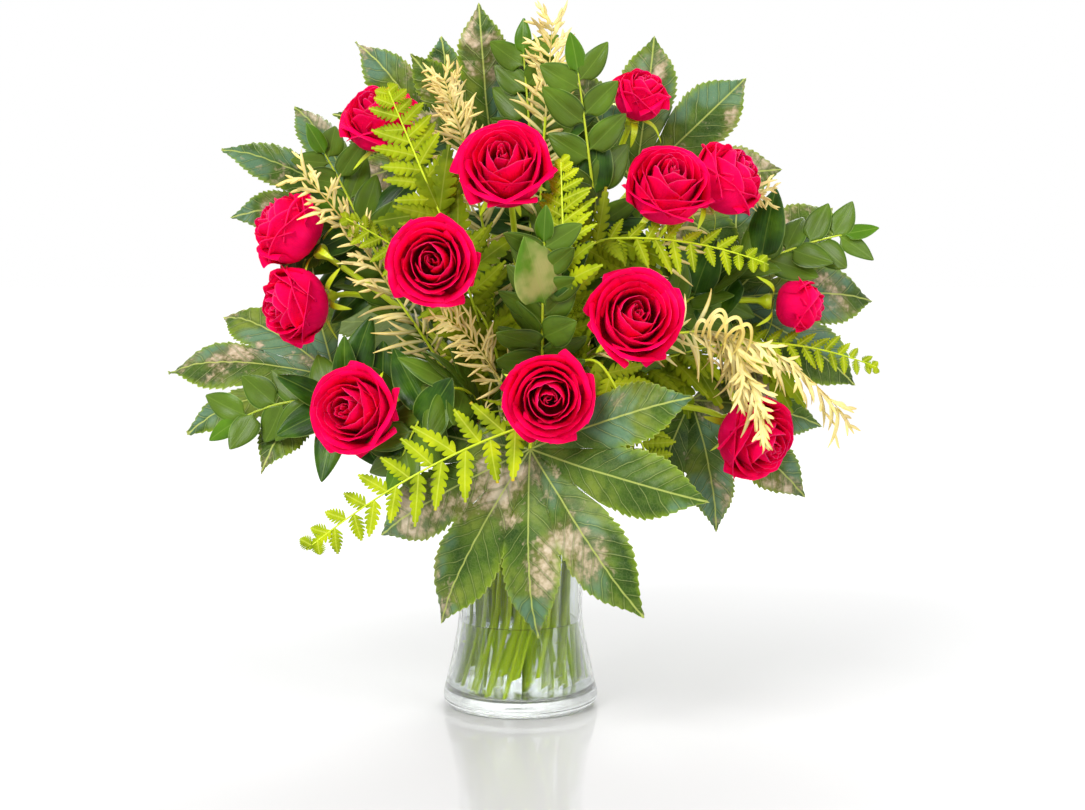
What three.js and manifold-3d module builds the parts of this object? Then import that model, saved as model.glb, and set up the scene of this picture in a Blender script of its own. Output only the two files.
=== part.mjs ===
// A vase of red roses: a waisted clear glass vase of water that holds thirteen roses,
// palmate aralia leaves, leather fern, ruscus shoots and narrow-leaved grevillea sprays.
//
// Units are millimetres and degrees. +Z is up, the arrangement faces -Y, and the origin is
// the centre of the vase's flat underside. Every stem runs from a foot in the water up
// through its own place in the neck, and only above the rim does it turn to its own side.

import * as THREE from "three";
import { mergeVertices } from "three/addons/utils/BufferGeometryUtils.js";
import Module from "manifold-3d";

const wasm = await Module();
wasm.setup();

// ---- Vase and water ---------------------------------------------------------------------

const VASE_FOOT_RADIUS = 48;
const VASE_BASE_RADIUS = 56;
const VASE_HEEL_HEIGHT = 9;
const VASE_WAIST_RADIUS = 44.7;
const VASE_WAIST_HEIGHT = 64;
const VASE_RIM_RADIUS = 52;
const VASE_HEIGHT = 188;
const GLASS_WALL = 3;
const GLASS_FLOOR = 10;
const WATER_LEVEL = 58;
const VASE_SIDES = 36;
const CLEARANCE = 0.3;
const FINEST_EDGES = [0.24, 0.18, 0.12, 0.08, 0.06, 0.04, 0.02];

// ---- Stems ------------------------------------------------------------------------------

const NECK_PLACES = 50;
const GOLDEN_ANGLE = 137.508;
const FOOT_SPREAD = 43;
const WAIST_SPREAD = 36.5;
const RIM_SPREAD = 43;
const FOOT_HEIGHT = 10.8;
const FOOT_STEP = 3;
const BEND_HEIGHT = 66;
const RIM_HEIGHT = 184;
const FOOT_TURN = -35;
const BEND_TURN = -15;
const STEM_SIDES = 5;
const STEM_STEPS = 4;
const HOLE_CLEARANCE = 0.42;
const HOME_LEAN = 80;
const LEAVE_PULL = 1.1;
const ARRIVE_PULL = 0.9;
const THIN_END = 0.9;
const ROSE_STEM = 2.7;
const ROSE_STEM_END = 2.2;
const LEAF_STEM = 2.0;
const LEAF_STEM_END = 1.4;
const SHOOT_STEM = 1.5;
const FROND_STEM = 1.3;
const SPRAY_STEM = 1.3;

// ---- Rose blooms ------------------------------------------------------------------------

const BLOOM_HEIGHT = 44;
const BLOOM_RADIUS = 32;
const BLOOM_DEPTH = 30;
const OUTER_PETALS = 5;
const ROOT_RADIUS = 3.5;
const ROOT_HEIGHT = 3;
const LIP_INNER_RADIUS = 4.5;
const INNER_HALF_WIDTH = 74;
const OUTER_HALF_WIDTH = 50;
const PETAL_TURN = 0.42;
const PETAL_THICKNESS = 1.5;
const HIP_LENGTH = 11;
const HIP_RADIUS = 5.6;
const SEPAL_REACH = 12;
const SEPAL_BACK = 9;

// ---- Foliage ----------------------------------------------------------------------------

const WIDEST_LOBE = 46;
const LOBE_SHARE = 0.54;
const LOBE_DROOP = 0.16;
const LEAF_THICKNESS = 1.8;
const LEAFLET_THICKNESS = 1.2;
const PINNA_LENGTH = 34;
const PINNA_WIDTH = 13;
const CLEFT_OFFSET = 1.6;
const OVAL_LENGTH = 34;
const OVAL_WIDTH = 16;
const NEEDLE_LENGTH = 36;
const NEEDLE_WIDTH = 4;

// Blooms: where the open face's middle is, the way it faces (turned to the right of -Y, and
// tipped up), its size against the full bloom, and how far it has opened.
const ROSES = [
  { at: [-99, -40, 424], turn: -20, tip: 50, size: 1.0, open: 0.88 },
  { at: [-9, -110, 386], turn: -4, tip: 25, size: 1.12, open: 0.92 },
  { at: [87, -10, 442], turn: 25, tip: 50, size: 0.84, open: 0.75 },
  { at: [100, -95, 375], turn: 8, tip: 35, size: 1.08, open: 0.9 },
  { at: [148, -50, 381], turn: 60, tip: 35, size: 1.04, open: 0.88 },
  { at: [-166, -40, 347], turn: -70, tip: 35, size: 1.06, open: 0.84 },
  { at: [-54, -150, 320], turn: -2, tip: 5, size: 1.0, open: 1.0 },
  { at: [-162, -45, 289], turn: -55, tip: -10, size: 1.04, open: 0.9 },
  { at: [76, -150, 287], turn: 8, tip: 15, size: 1.06, open: 1.0 },
  { at: [205, -10, 289], turn: 80, tip: -5, size: 0.84, open: 0.72 },
  { at: [-112, -100, 222], turn: -20, tip: 8, size: 1.06, open: 0.98 },
  { at: [20, -150, 233], turn: 0, tip: 0, size: 1.0, open: 1.0 },
  { at: [167, -70, 197], turn: 40, tip: -20, size: 1.08, open: 0.95 },
];

// Aralia leaves: the hub where the lobes meet, the middle lobe's tip, how far the blade is
// rolled about that lobe, the lobes each side of it, and the length of the side lobes.
const ARALIAS = [
  { hub: [8, -104, 196], tip: [14, -130, 74], roll: 26, sides: 3, step: 34, side: 1.1, arch: 8 },
  { hub: [-135, 20, 235], tip: [-262, 36, 238], roll: 16, sides: 2, step: 34, side: 0.92, arch: 12 },
  { hub: [-113, 34, 357], tip: [-215, 27, 406], roll: 8, sides: 2, step: 34, side: 0.92, arch: 7 },
  { hub: [-58, 62, 400], tip: [-116, 46, 484], roll: 7, sides: 2, step: 36, side: 0.9, arch: 5 },
  { hub: [-22, 44, 408], tip: [-33, 18, 504], roll: -3, sides: 2, step: 36, side: 0.9, arch: 12 },
  { hub: [83, 30, 375], tip: [164, 36, 455], roll: 23, sides: 2, step: 38, side: 1.0, arch: 6 },
  { hub: [152, 36, 292], tip: [263, 55, 296], roll: 14, sides: 2, step: 40, side: 1.05, arch: 13 },
  { hub: [124, 20, 219], tip: [204, 0, 148], roll: 0, sides: 2, step: 36, side: 0.95, arch: 8 },
  { hub: [-70, 110, 285], tip: [-145, 169, 330], roll: 172, sides: 2, step: 36, side: 0.95, arch: 12 },
  { hub: [60, 115, 290], tip: [123, 166, 325], roll: 140, sides: 2, step: 36, side: 0.95, arch: 9 },
];

// Fern fronds: where the leafy part starts, its tip, how high it arches, its roll about its
// rib, and the length of its leaflets against the longest.
const FERNS = [
  { from: [0, -128, 212], tip: [-137, -139, 134], lift: 16, roll: -7, size: 1.0 },
  { from: [-52, -78, 350], tip: [-88, -73, 436], lift: 0, roll: 0, size: 0.95 },
  { from: [30, -118, 318], tip: [28, -101, 387], lift: -2, roll: -33, size: 0.75 },
  { from: [58, -118, 248], tip: [92, -116, 172], lift: 10, roll: 0, size: 0.95 },
  { from: [60, -80, 335], tip: [166, -96, 318], lift: 12, roll: 0, size: 0.7 },
  { from: [165, -6, 262], tip: [256, -12, 244], lift: 10, roll: 0, size: 0.6 },
  { from: [-40, -60, 300], tip: [-118, -79, 350], lift: 4, roll: 6, size: 0.75 },
  { from: [0, 80, 300], tip: [0, 150, 380], lift: 10, roll: 0, size: 1.0 },
];

// Ruscus shoots: as the ferns.
const SHOOTS = [
  { from: [52, -40, 360], tip: [39, -59, 455], lift: 4, roll: -5, size: 1.1 },
  { from: [-120, -50, 220], tip: [-202, -39, 206], lift: 19, roll: -19, size: 1.1 },
  { from: [-52, -96, 232], tip: [-82, -92, 178], lift: 16, roll: 12, size: 1.0 },
  { from: [16, -104, 278], tip: [17, -136, 338], lift: -4, roll: -12, size: 1.0 },
  { from: [-110, -6, 340], tip: [-140, -12, 400], lift: 4, roll: 0, size: 1.0 },
  { from: [170, 0, 318], tip: [236, -6, 340], lift: 6, roll: 0, size: 1.0 },
  { from: [8, 8, 400], tip: [2, 8, 474], lift: 0, roll: -8, size: 1.0 },
];

// Grevillea sprays: as the ferns.
const SPRAYS = [
  { from: [18, -6, 420], tip: [23, -13, 487], lift: -3, roll: 8, size: 0.9 },
  { from: [114, -90, 273], tip: [218, -84, 218], lift: 33, roll: -15, size: 1.1 },
  { from: [-85, -63, 298], tip: [-143, -81, 377], lift: 9, roll: 10, size: 0.9 },
  { from: [-12, -90, 240], tip: [-49, -120, 285], lift: 11, roll: -9, size: 0.8 },
  { from: [120, -20, 352], tip: [170, -22, 368], lift: 16, roll: 6, size: 0.8 },
  { from: [-39, -28, 404], tip: [-52, -35, 446], lift: 1, roll: -5, size: 0.8 },
];

// ---- Small tools ------------------------------------------------------------------------

const UP = new THREE.Vector3(0, 0, 1);
const TO_FRONT = new THREE.Vector3(0, -0.85, 0.5);
const vec = (list) => new THREE.Vector3(...list);
const rad = THREE.MathUtils.degToRad;
const mix = THREE.MathUtils.lerp;

// The solid that closed triangles enclose.
function solid(points, faces) {
  const vertProperties = new Float32Array(points.flatMap((p) => [p.x, p.y, p.z]));
  const triVerts = new Uint32Array(faces.flat());
  return new wasm.Manifold(new wasm.Mesh({ numProp: 3, vertProperties, triVerts }));
}

function solidOfGeometry(geometry) {
  const bare = geometry.clone();
  bare.deleteAttribute("normal");
  bare.deleteAttribute("uv");
  const merged = mergeVertices(bare, 1e-4);
  const vertProperties = merged.attributes.position.array;
  const triVerts = new Uint32Array(merged.index.array);
  return new wasm.Manifold(new wasm.Mesh({ numProp: 3, vertProperties, triVerts }));
}

function geometryOfSolid(body) {
  const mesh = body.getMesh();
  const geometry = new THREE.BufferGeometry();
  geometry.setAttribute("position", new THREE.BufferAttribute(mesh.vertProperties, 3));
  geometry.setIndex(new THREE.BufferAttribute(mesh.triVerts, 1));
  const flat = geometry.toNonIndexed();
  flat.computeVertexNormals();
  return flat;
}

// The body with its vertices drawn to a grid and the faces that collapse left out, or
// nothing where an edge is then shared by other than two faces.
function drawnToGrid(body, grid) {
  const mesh = body.getMesh();
  const points = [];
  const numbers = new Map();
  const numberOf = (i) => {
    const place = [0, 1, 2].map((k) => Math.round(mesh.vertProperties[3 * i + k] / grid));
    const key = place.join();
    if (!numbers.has(key)) {
      numbers.set(key, points.length);
      points.push(vec(place).multiplyScalar(grid));
    }
    return numbers.get(key);
  };
  const faces = new Map();
  for (let i = 0; i < mesh.triVerts.length; i += 3) {
    const face = [0, 1, 2].map((k) => numberOf(mesh.triVerts[i + k]));
    if (new Set(face).size < 3) continue;
    const key = [...face].sort((a, b) => a - b).join();
    if (!faces.delete(key)) faces.set(key, face);
  }
  const edges = new Map();
  for (const [a, b, c] of faces.values()) {
    for (const edge of [[a, b], [b, c], [c, a]]) {
      const key = edge.sort((m, n) => m - n).join();
      edges.set(key, (edges.get(key) ?? 0) + 1);
    }
  }
  const closed = [...edges.values()].every((count) => count === 2);
  return closed ? solid(points, [...faces.values()]) : null;
}

// One body from many. Edges too short to see are taken out, the longest first that leave
// the body closed. Hollows that the joining seals are filled and loose scraps are dropped.
function fuse(bodies) {
  const joined = wasm.Manifold.union(bodies);
  for (const finest of FINEST_EDGES) {
    const shells = joined.simplify(finest).decompose();
    const whole = shells.sort((a, b) => b.volume() - a.volume())[0];
    const tidy = drawnToGrid(whole, finest / 4);
    if (tidy) return tidy;
  }
  throw new Error("the pieces leave no closed body");
}

// Directions along a path, turned as little as possible from one station to the next.
function framesAlong(path) {
  const last = path.length - 1;
  const tangents = path.map((_, i) =>
    path[Math.min(i + 1, last)].clone().sub(path[Math.max(i - 1, 0)]).normalize(),
  );
  let side = new THREE.Vector3(1, 0, 0);
  if (Math.abs(tangents[0].x) > 0.9) side = new THREE.Vector3(0, 1, 0);
  return tangents.map((tangent) => {
    side = side.clone().addScaledVector(tangent, -side.dot(tangent)).normalize();
    return { tangent, side, other: tangent.clone().cross(side) };
  });
}

// A closed round bar along a path, with a radius at each station. Where it has sepals,
// each side of its last length is drawn out into one, which bends back along the bar.
function bar(path, radii, sides, hasSepals = false) {
  const frames = framesAlong(path);
  const rings = path.length;
  const points = [];
  const faces = [];
  for (let i = 0; i < rings; i += 1) {
    for (let j = 0; j < sides; j += 1) {
      const angle = (2 * Math.PI * j) / sides;
      points.push(
        path[i]
          .clone()
          .addScaledVector(frames[i].side, radii[i] * Math.cos(angle))
          .addScaledVector(frames[i].other, radii[i] * Math.sin(angle)),
      );
    }
  }
  for (let i = 0; i + 1 < rings; i += 1) {
    for (let j = 0; j < sides; j += 1) {
      const a = i * sides + j;
      const b = i * sides + ((j + 1) % sides);
      if (hasSepals && i === rings - 2) {
        const out = points[a].clone().add(points[b]).multiplyScalar(0.5).sub(path[i]).normalize();
        const end = path[i].clone().addScaledVector(out, SEPAL_REACH);
        points.push(end.addScaledVector(frames[i].tangent, -SEPAL_BACK));
        const apex = points.length - 1;
        faces.push([a, b, apex], [b, b + sides, apex]);
        faces.push([b + sides, a + sides, apex], [a + sides, a, apex]);
      } else {
        faces.push([a, b, b + sides], [a, b + sides, a + sides]);
      }
    }
  }
  const top = (rings - 1) * sides;
  for (let j = 1; j + 1 < sides; j += 1) {
    faces.push([0, j + 1, j], [top, top + j, top + j + 1]);
  }
  return solid(points, faces);
}

// A blade with sharp edges: both faces share the same net of triangles, and its inner
// points stand apart by the thickness given for each. An edge point has thickness 0.
function blade(points, thickness, faces) {
  const normals = points.map(() => new THREE.Vector3());
  for (const [a, b, c] of faces) {
    const ab = points[b].clone().sub(points[a]);
    const ac = points[c].clone().sub(points[a]);
    const normal = ab.cross(ac);
    for (const corner of [a, b, c]) normals[corner].add(normal);
  }
  const upper = points.map((p, i) =>
    p.clone().addScaledVector(normals[i].normalize(), thickness[i] / 2),
  );
  const lowerIndex = [];
  const all = [...upper];
  points.forEach((p, i) => {
    if (thickness[i] === 0) {
      lowerIndex.push(i);
    } else {
      lowerIndex.push(all.length);
      all.push(p.clone().addScaledVector(normals[i], -thickness[i] / 2));
    }
  });
  const lower = faces.map(([a, b, c]) => [lowerIndex[a], lowerIndex[c], lowerIndex[b]]);
  return solid(all, [...faces, ...lower]);
}

// The curve that leaves one point along a direction and reaches another along a second.
function bend(from, leave, to, arrive, s) {
  const a = from.clone().multiplyScalar(2 * s ** 3 - 3 * s ** 2 + 1);
  const b = leave.clone().multiplyScalar(s ** 3 - 2 * s ** 2 + s);
  const c = to.clone().multiplyScalar(3 * s ** 2 - 2 * s ** 3);
  const d = arrive.clone().multiplyScalar(s ** 3 - s ** 2);
  return a.add(b).add(c).add(d);
}

// A point and the heading on the arched line from one point to a tip.
function archAt(from, tip, lift, s) {
  const control = from.clone().add(tip).multiplyScalar(0.5);
  control.z += lift;
  const place = from
    .clone()
    .multiplyScalar((1 - s) ** 2)
    .addScaledVector(control, 2 * s * (1 - s))
    .addScaledVector(tip, s ** 2);
  const heading = control
    .clone()
    .sub(from)
    .multiplyScalar(1 - s)
    .addScaledVector(tip.clone().sub(control), s)
    .normalize();
  return { place, heading };
}

// The side and the face direction of a blade that lies along a heading, with its face
// turned to the front as far as it can be, then rolled.
function faceFrame(heading, roll) {
  const face = TO_FRONT.clone().addScaledVector(heading, -TO_FRONT.dot(heading)).normalize();
  face.applyAxisAngle(heading, rad(roll));
  return { face, side: heading.clone().cross(face) };
}

// ---- Places in the neck -----------------------------------------------------------------

// Places fill the neck like the seeds of a sunflower. All places widen and turn together
// with height, so stems that stand in them never cross.
function placeAt(place, spread, turn, height) {
  const radius = spread * Math.sqrt((place + 0.5) / NECK_PLACES);
  const angle = rad(place * GOLDEN_ANGLE + turn);
  return new THREE.Vector3(radius * Math.cos(angle), radius * Math.sin(angle), height);
}

const taken = new Set();

// The free place nearest to where a stem that leads to a point would leave the neck: the
// further the stem leans over, the nearer the rim.
function takePlace(target) {
  const away = Math.hypot(target.x, target.y);
  const lean = Math.atan2(away, target.z - VASE_HEIGHT + 40) / rad(HOME_LEAN);
  const wanted = new THREE.Vector3(target.x, target.y, 0).setLength(
    RIM_SPREAD * Math.min(lean, 1),
  );
  let best = -1;
  let nearest = Infinity;
  for (let place = 0; place < NECK_PLACES; place += 1) {
    const distance = placeAt(place, RIM_SPREAD, 0, 0).distanceTo(wanted);
    if (!taken.has(place) && distance < nearest) {
      best = place;
      nearest = distance;
    }
  }
  taken.add(best);
  return best;
}

// The stations of a stem from its foot in the water to its end.
function stemPath(place, end, arrive, steps) {
  const foot = placeAt(place, FOOT_SPREAD, FOOT_TURN, FOOT_HEIGHT + FOOT_STEP * (place % 4));
  const waist = placeAt(place, WAIST_SPREAD, BEND_TURN, BEND_HEIGHT);
  const rim = placeAt(place, RIM_SPREAD, 0, RIM_HEIGHT);
  const reach = end.distanceTo(rim);
  const leave = rim.clone().sub(waist).setLength(reach * LEAVE_PULL);
  const path = [foot, waist, rim];
  for (let i = 1; i <= steps; i += 1) {
    const arrival = arrive.clone().setLength(reach * ARRIVE_PULL);
    path.push(bend(rim, leave, end, arrival, i / steps));
  }
  return path;
}

const waterHoles = [];

// A stem, and the hole that it stands in. Past its end it may swell into a hip.
function stem(place, end, arrive, radius, endRadius, hip = []) {
  const path = stemPath(place, end, arrive, STEM_STEPS);
  const along = path[1].clone().sub(path[0]).normalize();
  const holeFoot = path[0].clone().addScaledVector(along, -HOLE_CLEARANCE);
  const holeRadius = radius + HOLE_CLEARANCE;
  waterHoles.push(bar([holeFoot, path[1]], [holeRadius, holeRadius], STEM_SIDES));
  const radii = path.map((_, i) => mix(radius, endRadius, Math.max(0, i - 2) / STEM_STEPS));
  for (const [point, hipRadius] of hip) {
    path.push(point);
    radii.push(hipRadius);
  }
  return bar(path, radii, STEM_SIDES, hip.length > 0);
}

// ---- Rose -------------------------------------------------------------------------------

// A point on petal number `ring` of 0 to 1 (innermost to outermost), `across` -1 to 1 and
// `up` 0 to 1 from its root to its lip, in the bloom's own frame.
function petalPoint(rose, ring, azimuth, across, up) {
  const bellyR = 9 + 18 * ring * rose.open;
  const shoulderR = 8.5 + 19 * ring * rose.open;
  const lipR = mix(LIP_INNER_RADIUS, BLOOM_RADIUS, ring * rose.open);
  const bellyZ = 13 - 3 * ring;
  const shoulderZ = BLOOM_HEIGHT - 12 - 8 * ring;
  const lipZ = BLOOM_HEIGHT - 14 * ring ** 2 * rose.open;
  const s = up * (1 - 0.16 * across * across);
  const q = 1 - s;
  const radius =
    q ** 3 * ROOT_RADIUS + 3 * q * q * s * bellyR + 3 * q * s * s * shoulderR + s ** 3 * lipR;
  const height = q ** 3 * ROOT_HEIGHT + 3 * q * q * s * bellyZ + 3 * q * s * s * shoulderZ + s ** 3 * lipZ;
  const fullness = 0.4 + 0.6 * Math.sin(rad(90 * Math.min(1, 1.3 * up)));
  const halfWidth = mix(INNER_HALF_WIDTH, OUTER_HALF_WIDTH, ring) * fullness;
  const angle = azimuth + rad(halfWidth * across);
  return new THREE.Vector3(radius * Math.cos(angle), radius * Math.sin(angle), height);
}

// One free petal, from a narrow claw in the heart to its wide lip.
function petal(rose, ring, azimuth) {
  const across = [-1, -0.36, 0.36, 1];
  const up = [0.6, 1];
  const points = [petalPoint(rose, ring, azimuth, 0, 0)];
  const thickness = [0];
  const faces = [];
  up.forEach((v, j) => {
    across.forEach((u, i) => {
      const isInner = i > 0 && j === 0 && i < across.length - 1;
      const here = points.length;
      points.push(petalPoint(rose, ring, azimuth, u, v));
      thickness.push(isInner ? PETAL_THICKNESS : 0);
      if (i === 0) return;
      const below = here - across.length;
      if (j === 0) faces.push([0, here, here - 1]);
      else if (i === 1) faces.push([below - 1, below, here - 1], [below, here, here - 1]);
      else faces.push([below - 1, below, here], [below - 1, here, here - 1]);
    });
  });
  return blade(points, thickness, faces);
}

// The inner whorls as one body: from the hip up the outside of a ring of five petals,
// down into the cleft behind them, up the next ring, and down into the heart. Each row is
// its radius and height at the middle of a petal and then at the joint between two.
const WHORLS = [
  [5.6, 0, 5.6, 0],
  [12, 9, 12, 9],
  [21.5, 35, 18, 30],
  [15, 25, 14.5, 25],
  [12.5, 37, 15.5, 42],
  [9.5, 33, 10, 33],
  [7.4, 45, 5.4, 41],
];
const HEART_DEPTH = 36;

function whorls(rose) {
  const sides = 2 * OUTER_PETALS;
  const points = [];
  const faces = [];
  WHORLS.forEach(([middleR, middleZ, jointR, jointZ], i) => {
    const open = i > 0 ? mix(0.7, 1, rose.open) : 1;
    for (let j = 0; j < sides; j += 1) {
      const angle = (2 * Math.PI * j) / sides + i * 0.12;
      const radius = (j % 2 ? jointR : middleR) * open;
      const height = j % 2 ? jointZ : middleZ;
      points.push(new THREE.Vector3(radius * Math.cos(angle), radius * Math.sin(angle), height));
    }
  });
  for (let i = 0; i + 1 < WHORLS.length; i += 1) {
    for (let j = 0; j < sides; j += 1) {
      const a = i * sides + j;
      const b = i * sides + ((j + 1) % sides);
      faces.push([a, b, b + sides], [a, b + sides, a + sides]);
    }
  }
  for (let j = 1; j + 1 < sides; j += 1) faces.push([0, j + 1, j]);
  points.push(new THREE.Vector3(0, 0, HEART_DEPTH));
  const top = (WHORLS.length - 1) * sides;
  for (let j = 0; j < sides; j += 1) {
    faces.push([top + j, top + ((j + 1) % sides), points.length - 1]);
  }
  return solid(points, faces);
}

function bloomSolid(rose) {
  const pieces = [whorls(rose)];
  for (let k = 1; k <= OUTER_PETALS; k += 1) {
    const ring = mix(0.78, 1, k / OUTER_PETALS);
    pieces.push(petal(rose, ring, (4 * Math.PI * k) / OUTER_PETALS + PETAL_TURN));
  }
  return fuse(pieces.map((piece) => piece.scale([rose.size, rose.size, rose.size])));
}

function facing(rose) {
  const turn = rad(rose.turn);
  const tip = rad(rose.tip);
  return new THREE.Vector3(
    Math.sin(turn) * Math.cos(tip),
    -Math.cos(turn) * Math.cos(tip),
    Math.sin(tip),
  );
}

// The bloom stands on the flat top of its hip, with a hair's gap between the two.
function roseParts(rose, index) {
  const way = facing(rose);
  const base = vec(rose.at).addScaledVector(way, -BLOOM_DEPTH * rose.size);
  const turned = new THREE.Quaternion().setFromUnitVectors(UP, way);
  const hipTop = base.clone().addScaledVector(way, -CLEARANCE);
  const hipFoot = base.clone().addScaledVector(way, -HIP_LENGTH);
  const swell = base.clone().addScaledVector(way, -HIP_LENGTH * 0.55);
  const hip = [
    [swell, HIP_RADIUS * 0.9],
    [hipTop, HIP_RADIUS],
  ];
  const stalk = stem(takePlace(base), hipFoot, way, ROSE_STEM, ROSE_STEM_END, hip);
  return {
    bloom: { name: `rose_bloom_${index}`, body: bloomSolid(rose), base, turned },
    stem: { name: `rose_stem_${index}`, body: stalk },
  };
}

// ---- Aralia leaf ------------------------------------------------------------------------

// One blade of pointed lobes round a hub. Each lobe swells from the cleft beside it, has a
// toothed edge and a raised midrib, and droops to its tip. It takes only a share of the
// space between its tip and the next, so that no lobe reaches over its neighbour.
const LOBE_STATIONS = [
  [0.46, 0.4],
  [0.62, 0.5],
  [0.7, 0.36],
  [0.8, 0.36],
];

function araliaBody(leaf, index) {
  const hub = vec(leaf.hub);
  const tip = vec(leaf.tip);
  const heading = tip.clone().sub(hub);
  const reach = heading.length();
  heading.normalize();
  const { face, side } = faceFrame(heading, leaf.roll);
  const at = (angle, along, across) => {
    const a = rad(angle);
    const flatX = along * Math.sin(a) + across * Math.cos(a);
    const flatY = along * Math.cos(a) - across * Math.sin(a);
    const away = along / reach;
    const droop = leaf.arch * (4 * away * (1 - away)) - Math.abs(across) * LOBE_DROOP;
    return hub
      .clone()
      .addScaledVector(heading, flatY)
      .addScaledVector(side, flatX)
      .addScaledVector(face, droop);
  };
  const points = [hub.clone(), at(180, 5, 0)];
  const thickness = [LEAF_THICKNESS * 1.4, 0];
  const faces = [];
  const first = -leaf.sides;
  let cleft = points.length;
  points.push(at((first - 0.62) * leaf.step, reach * 0.2, 0));
  thickness.push(0);
  faces.push([0, cleft, 1]);
  for (let k = first; k <= leaf.sides; k += 1) {
    const angle = k * leaf.step;
    const outer = Math.abs(k) / leaf.sides;
    const length = reach * (k === 0 ? 1 : leaf.side * mix(1, 0.86, outer * outer));
    const tipSpacing = 2 * length * Math.sin(rad(leaf.step / 2));
    const lobeWidth = Math.min(WIDEST_LOBE, LOBE_SHARE * tipSpacing);
    const nextCleft = points.length;
    points.push(at((k + (k === leaf.sides ? 0.62 : 0.5)) * leaf.step, reach * 0.3, 0));
    thickness.push(0);
    let left = cleft;
    let middle = 0;
    let right = nextCleft;
    for (const [along, width] of LOBE_STATIONS) {
      const newLeft = points.length;
      points.push(at(angle, length * along, -lobeWidth * width));
      points.push(at(angle, length * along, 0));
      points.push(at(angle, length * along, lobeWidth * width));
      thickness.push(0, LEAF_THICKNESS, 0);
      faces.push([left, middle, newLeft + 1], [left, newLeft + 1, newLeft]);
      faces.push([middle, right, newLeft + 2], [middle, newLeft + 2, newLeft + 1]);
      left = newLeft;
      middle = newLeft + 1;
      right = newLeft + 2;
    }
    const end = points.length;
    points.push(at(angle, length, 0));
    thickness.push(0);
    faces.push([left, middle, end], [middle, right, end]);
    cleft = nextCleft;
  }
  faces.push([0, 1, cleft]);
  const place = takePlace(hub);
  const arrive = heading.clone().addScaledVector(face, 0.25).normalize();
  const petiole = stem(place, hub, arrive, LEAF_STEM, LEAF_STEM_END);
  return { name: `aralia_leaf_${index}`, body: fuse([blade(points, thickness, faces), petiole]) };
}

// ---- Fern fronds, ruscus shoots and grevillea sprays ------------------------------------

// One arched blade cut to its rib into pairs of leaflets. Each leaflet is given, as shares
// of its length and width, by the outline points between its clefts.
const FERN_LEAFLET = {
  pairs: 7,
  forward: 28,
  rib: 1.8,
  outline: [
    [0.42, 0.55],
    [0.64, 0.2],
    [1, 0],
    [0.42, -0.42],
  ],
  length: (s) => PINNA_LENGTH * Math.sin(rad(mix(58, 170, s))),
  width: (s) => PINNA_WIDTH * mix(1, 0.75, s),
  droop: () => 0.12,
};

const RUSCUS_LEAFLET = {
  pairs: 4,
  forward: 42,
  rib: 1.9,
  outline: [
    [0.34, 0.5],
    [0.7, 0.44],
    [1, 0],
    [0.7, -0.44],
    [0.34, -0.5],
  ],
  length: (s) => OVAL_LENGTH * mix(1, 0.8, s),
  width: (s) => OVAL_WIDTH * mix(1, 0.8, s),
  droop: (k, hand) => 0.3 * Math.sin(k * 2.1 + hand),
};

const GREVILLEA_LEAFLET = {
  pairs: 6,
  forward: 48,
  rib: 1.7,
  outline: [
    [0.3, 0.5],
    [1, 0],
    [0.3, -0.5],
  ],
  length: (s) => NEEDLE_LENGTH * mix(1, 0.7, s),
  width: () => NEEDLE_WIDTH,
  droop: (k, hand) => 0.35 * Math.sin(k * 2.4 + hand),
};

function combBlade(row, kind) {
  const from = vec(row.from);
  const tip = vec(row.tip);
  const points = [];
  const thickness = [];
  const faces = [];
  const spot = (s) => {
    const { place, heading } = archAt(from, tip, row.lift, s);
    return { place, heading, ...faceFrame(heading, row.roll) };
  };
  const add = (point, thick) => {
    points.push(point);
    thickness.push(thick);
    return points.length - 1;
  };
  const start = spot(0);
  const tail = add(start.place.clone().addScaledVector(start.heading, -2), 0);
  let rib = add(start.place.clone(), kind.rib);
  const clefts = { [-1]: tail, 1: tail };
  const sideways = Math.cos(rad(kind.forward));
  const onward = Math.sin(rad(kind.forward));
  for (let k = 0; k < kind.pairs; k += 1) {
    const s = k / kind.pairs;
    const here = spot(s + 0.3 / kind.pairs);
    const next = spot((k + 1) / kind.pairs);
    const isLast = k + 1 === kind.pairs;
    const ahead = isLast ? add(tip.clone(), 0) : add(next.place.clone(), kind.rib * mix(1, 0.7, s));
    for (const hand of [-1, 1]) {
      const length = kind.length(s) * row.size;
      const width = kind.width(s) * row.size;
      const fall = length * kind.droop(k, hand);
      const at = (along, across) =>
        here.place
          .clone()
          .addScaledVector(here.side, hand * (along * length * sideways + across * width * onward))
          .addScaledVector(here.heading, along * length * onward - across * width * sideways)
          .addScaledVector(here.face, -fall * along * along);
      const outline = kind.outline.map(([along, across]) => add(at(along, across), 0));
      const middle = add(at(0.36, 0), LEAFLET_THICKNESS);
      const cleftPoint = next.place.clone().addScaledVector(next.side, hand * CLEFT_OFFSET);
      const cleft = isLast ? ahead : add(cleftPoint, 0);
      const ring = [rib, clefts[hand], ...outline, cleft];
      ring.forEach((a, i) => {
        const b = ring[(i + 1) % ring.length];
        faces.push(hand < 0 ? [middle, b, a] : [middle, a, b]);
      });
      if (!isLast) faces.push(hand < 0 ? [rib, ahead, cleft] : [rib, cleft, ahead]);
      clefts[hand] = cleft;
    }
    rib = ahead;
  }
  return { plate: blade(points, thickness, faces), foot: spot(0.03).place, heading: start.heading };
}

function combBody(name, row, kind, stemRadius) {
  const { plate, foot, heading } = combBlade(row, kind);
  const stalk = stem(takePlace(vec(row.from)), foot, heading, stemRadius, THIN_END);
  return { name, body: fuse([plate, stalk]) };
}

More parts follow.
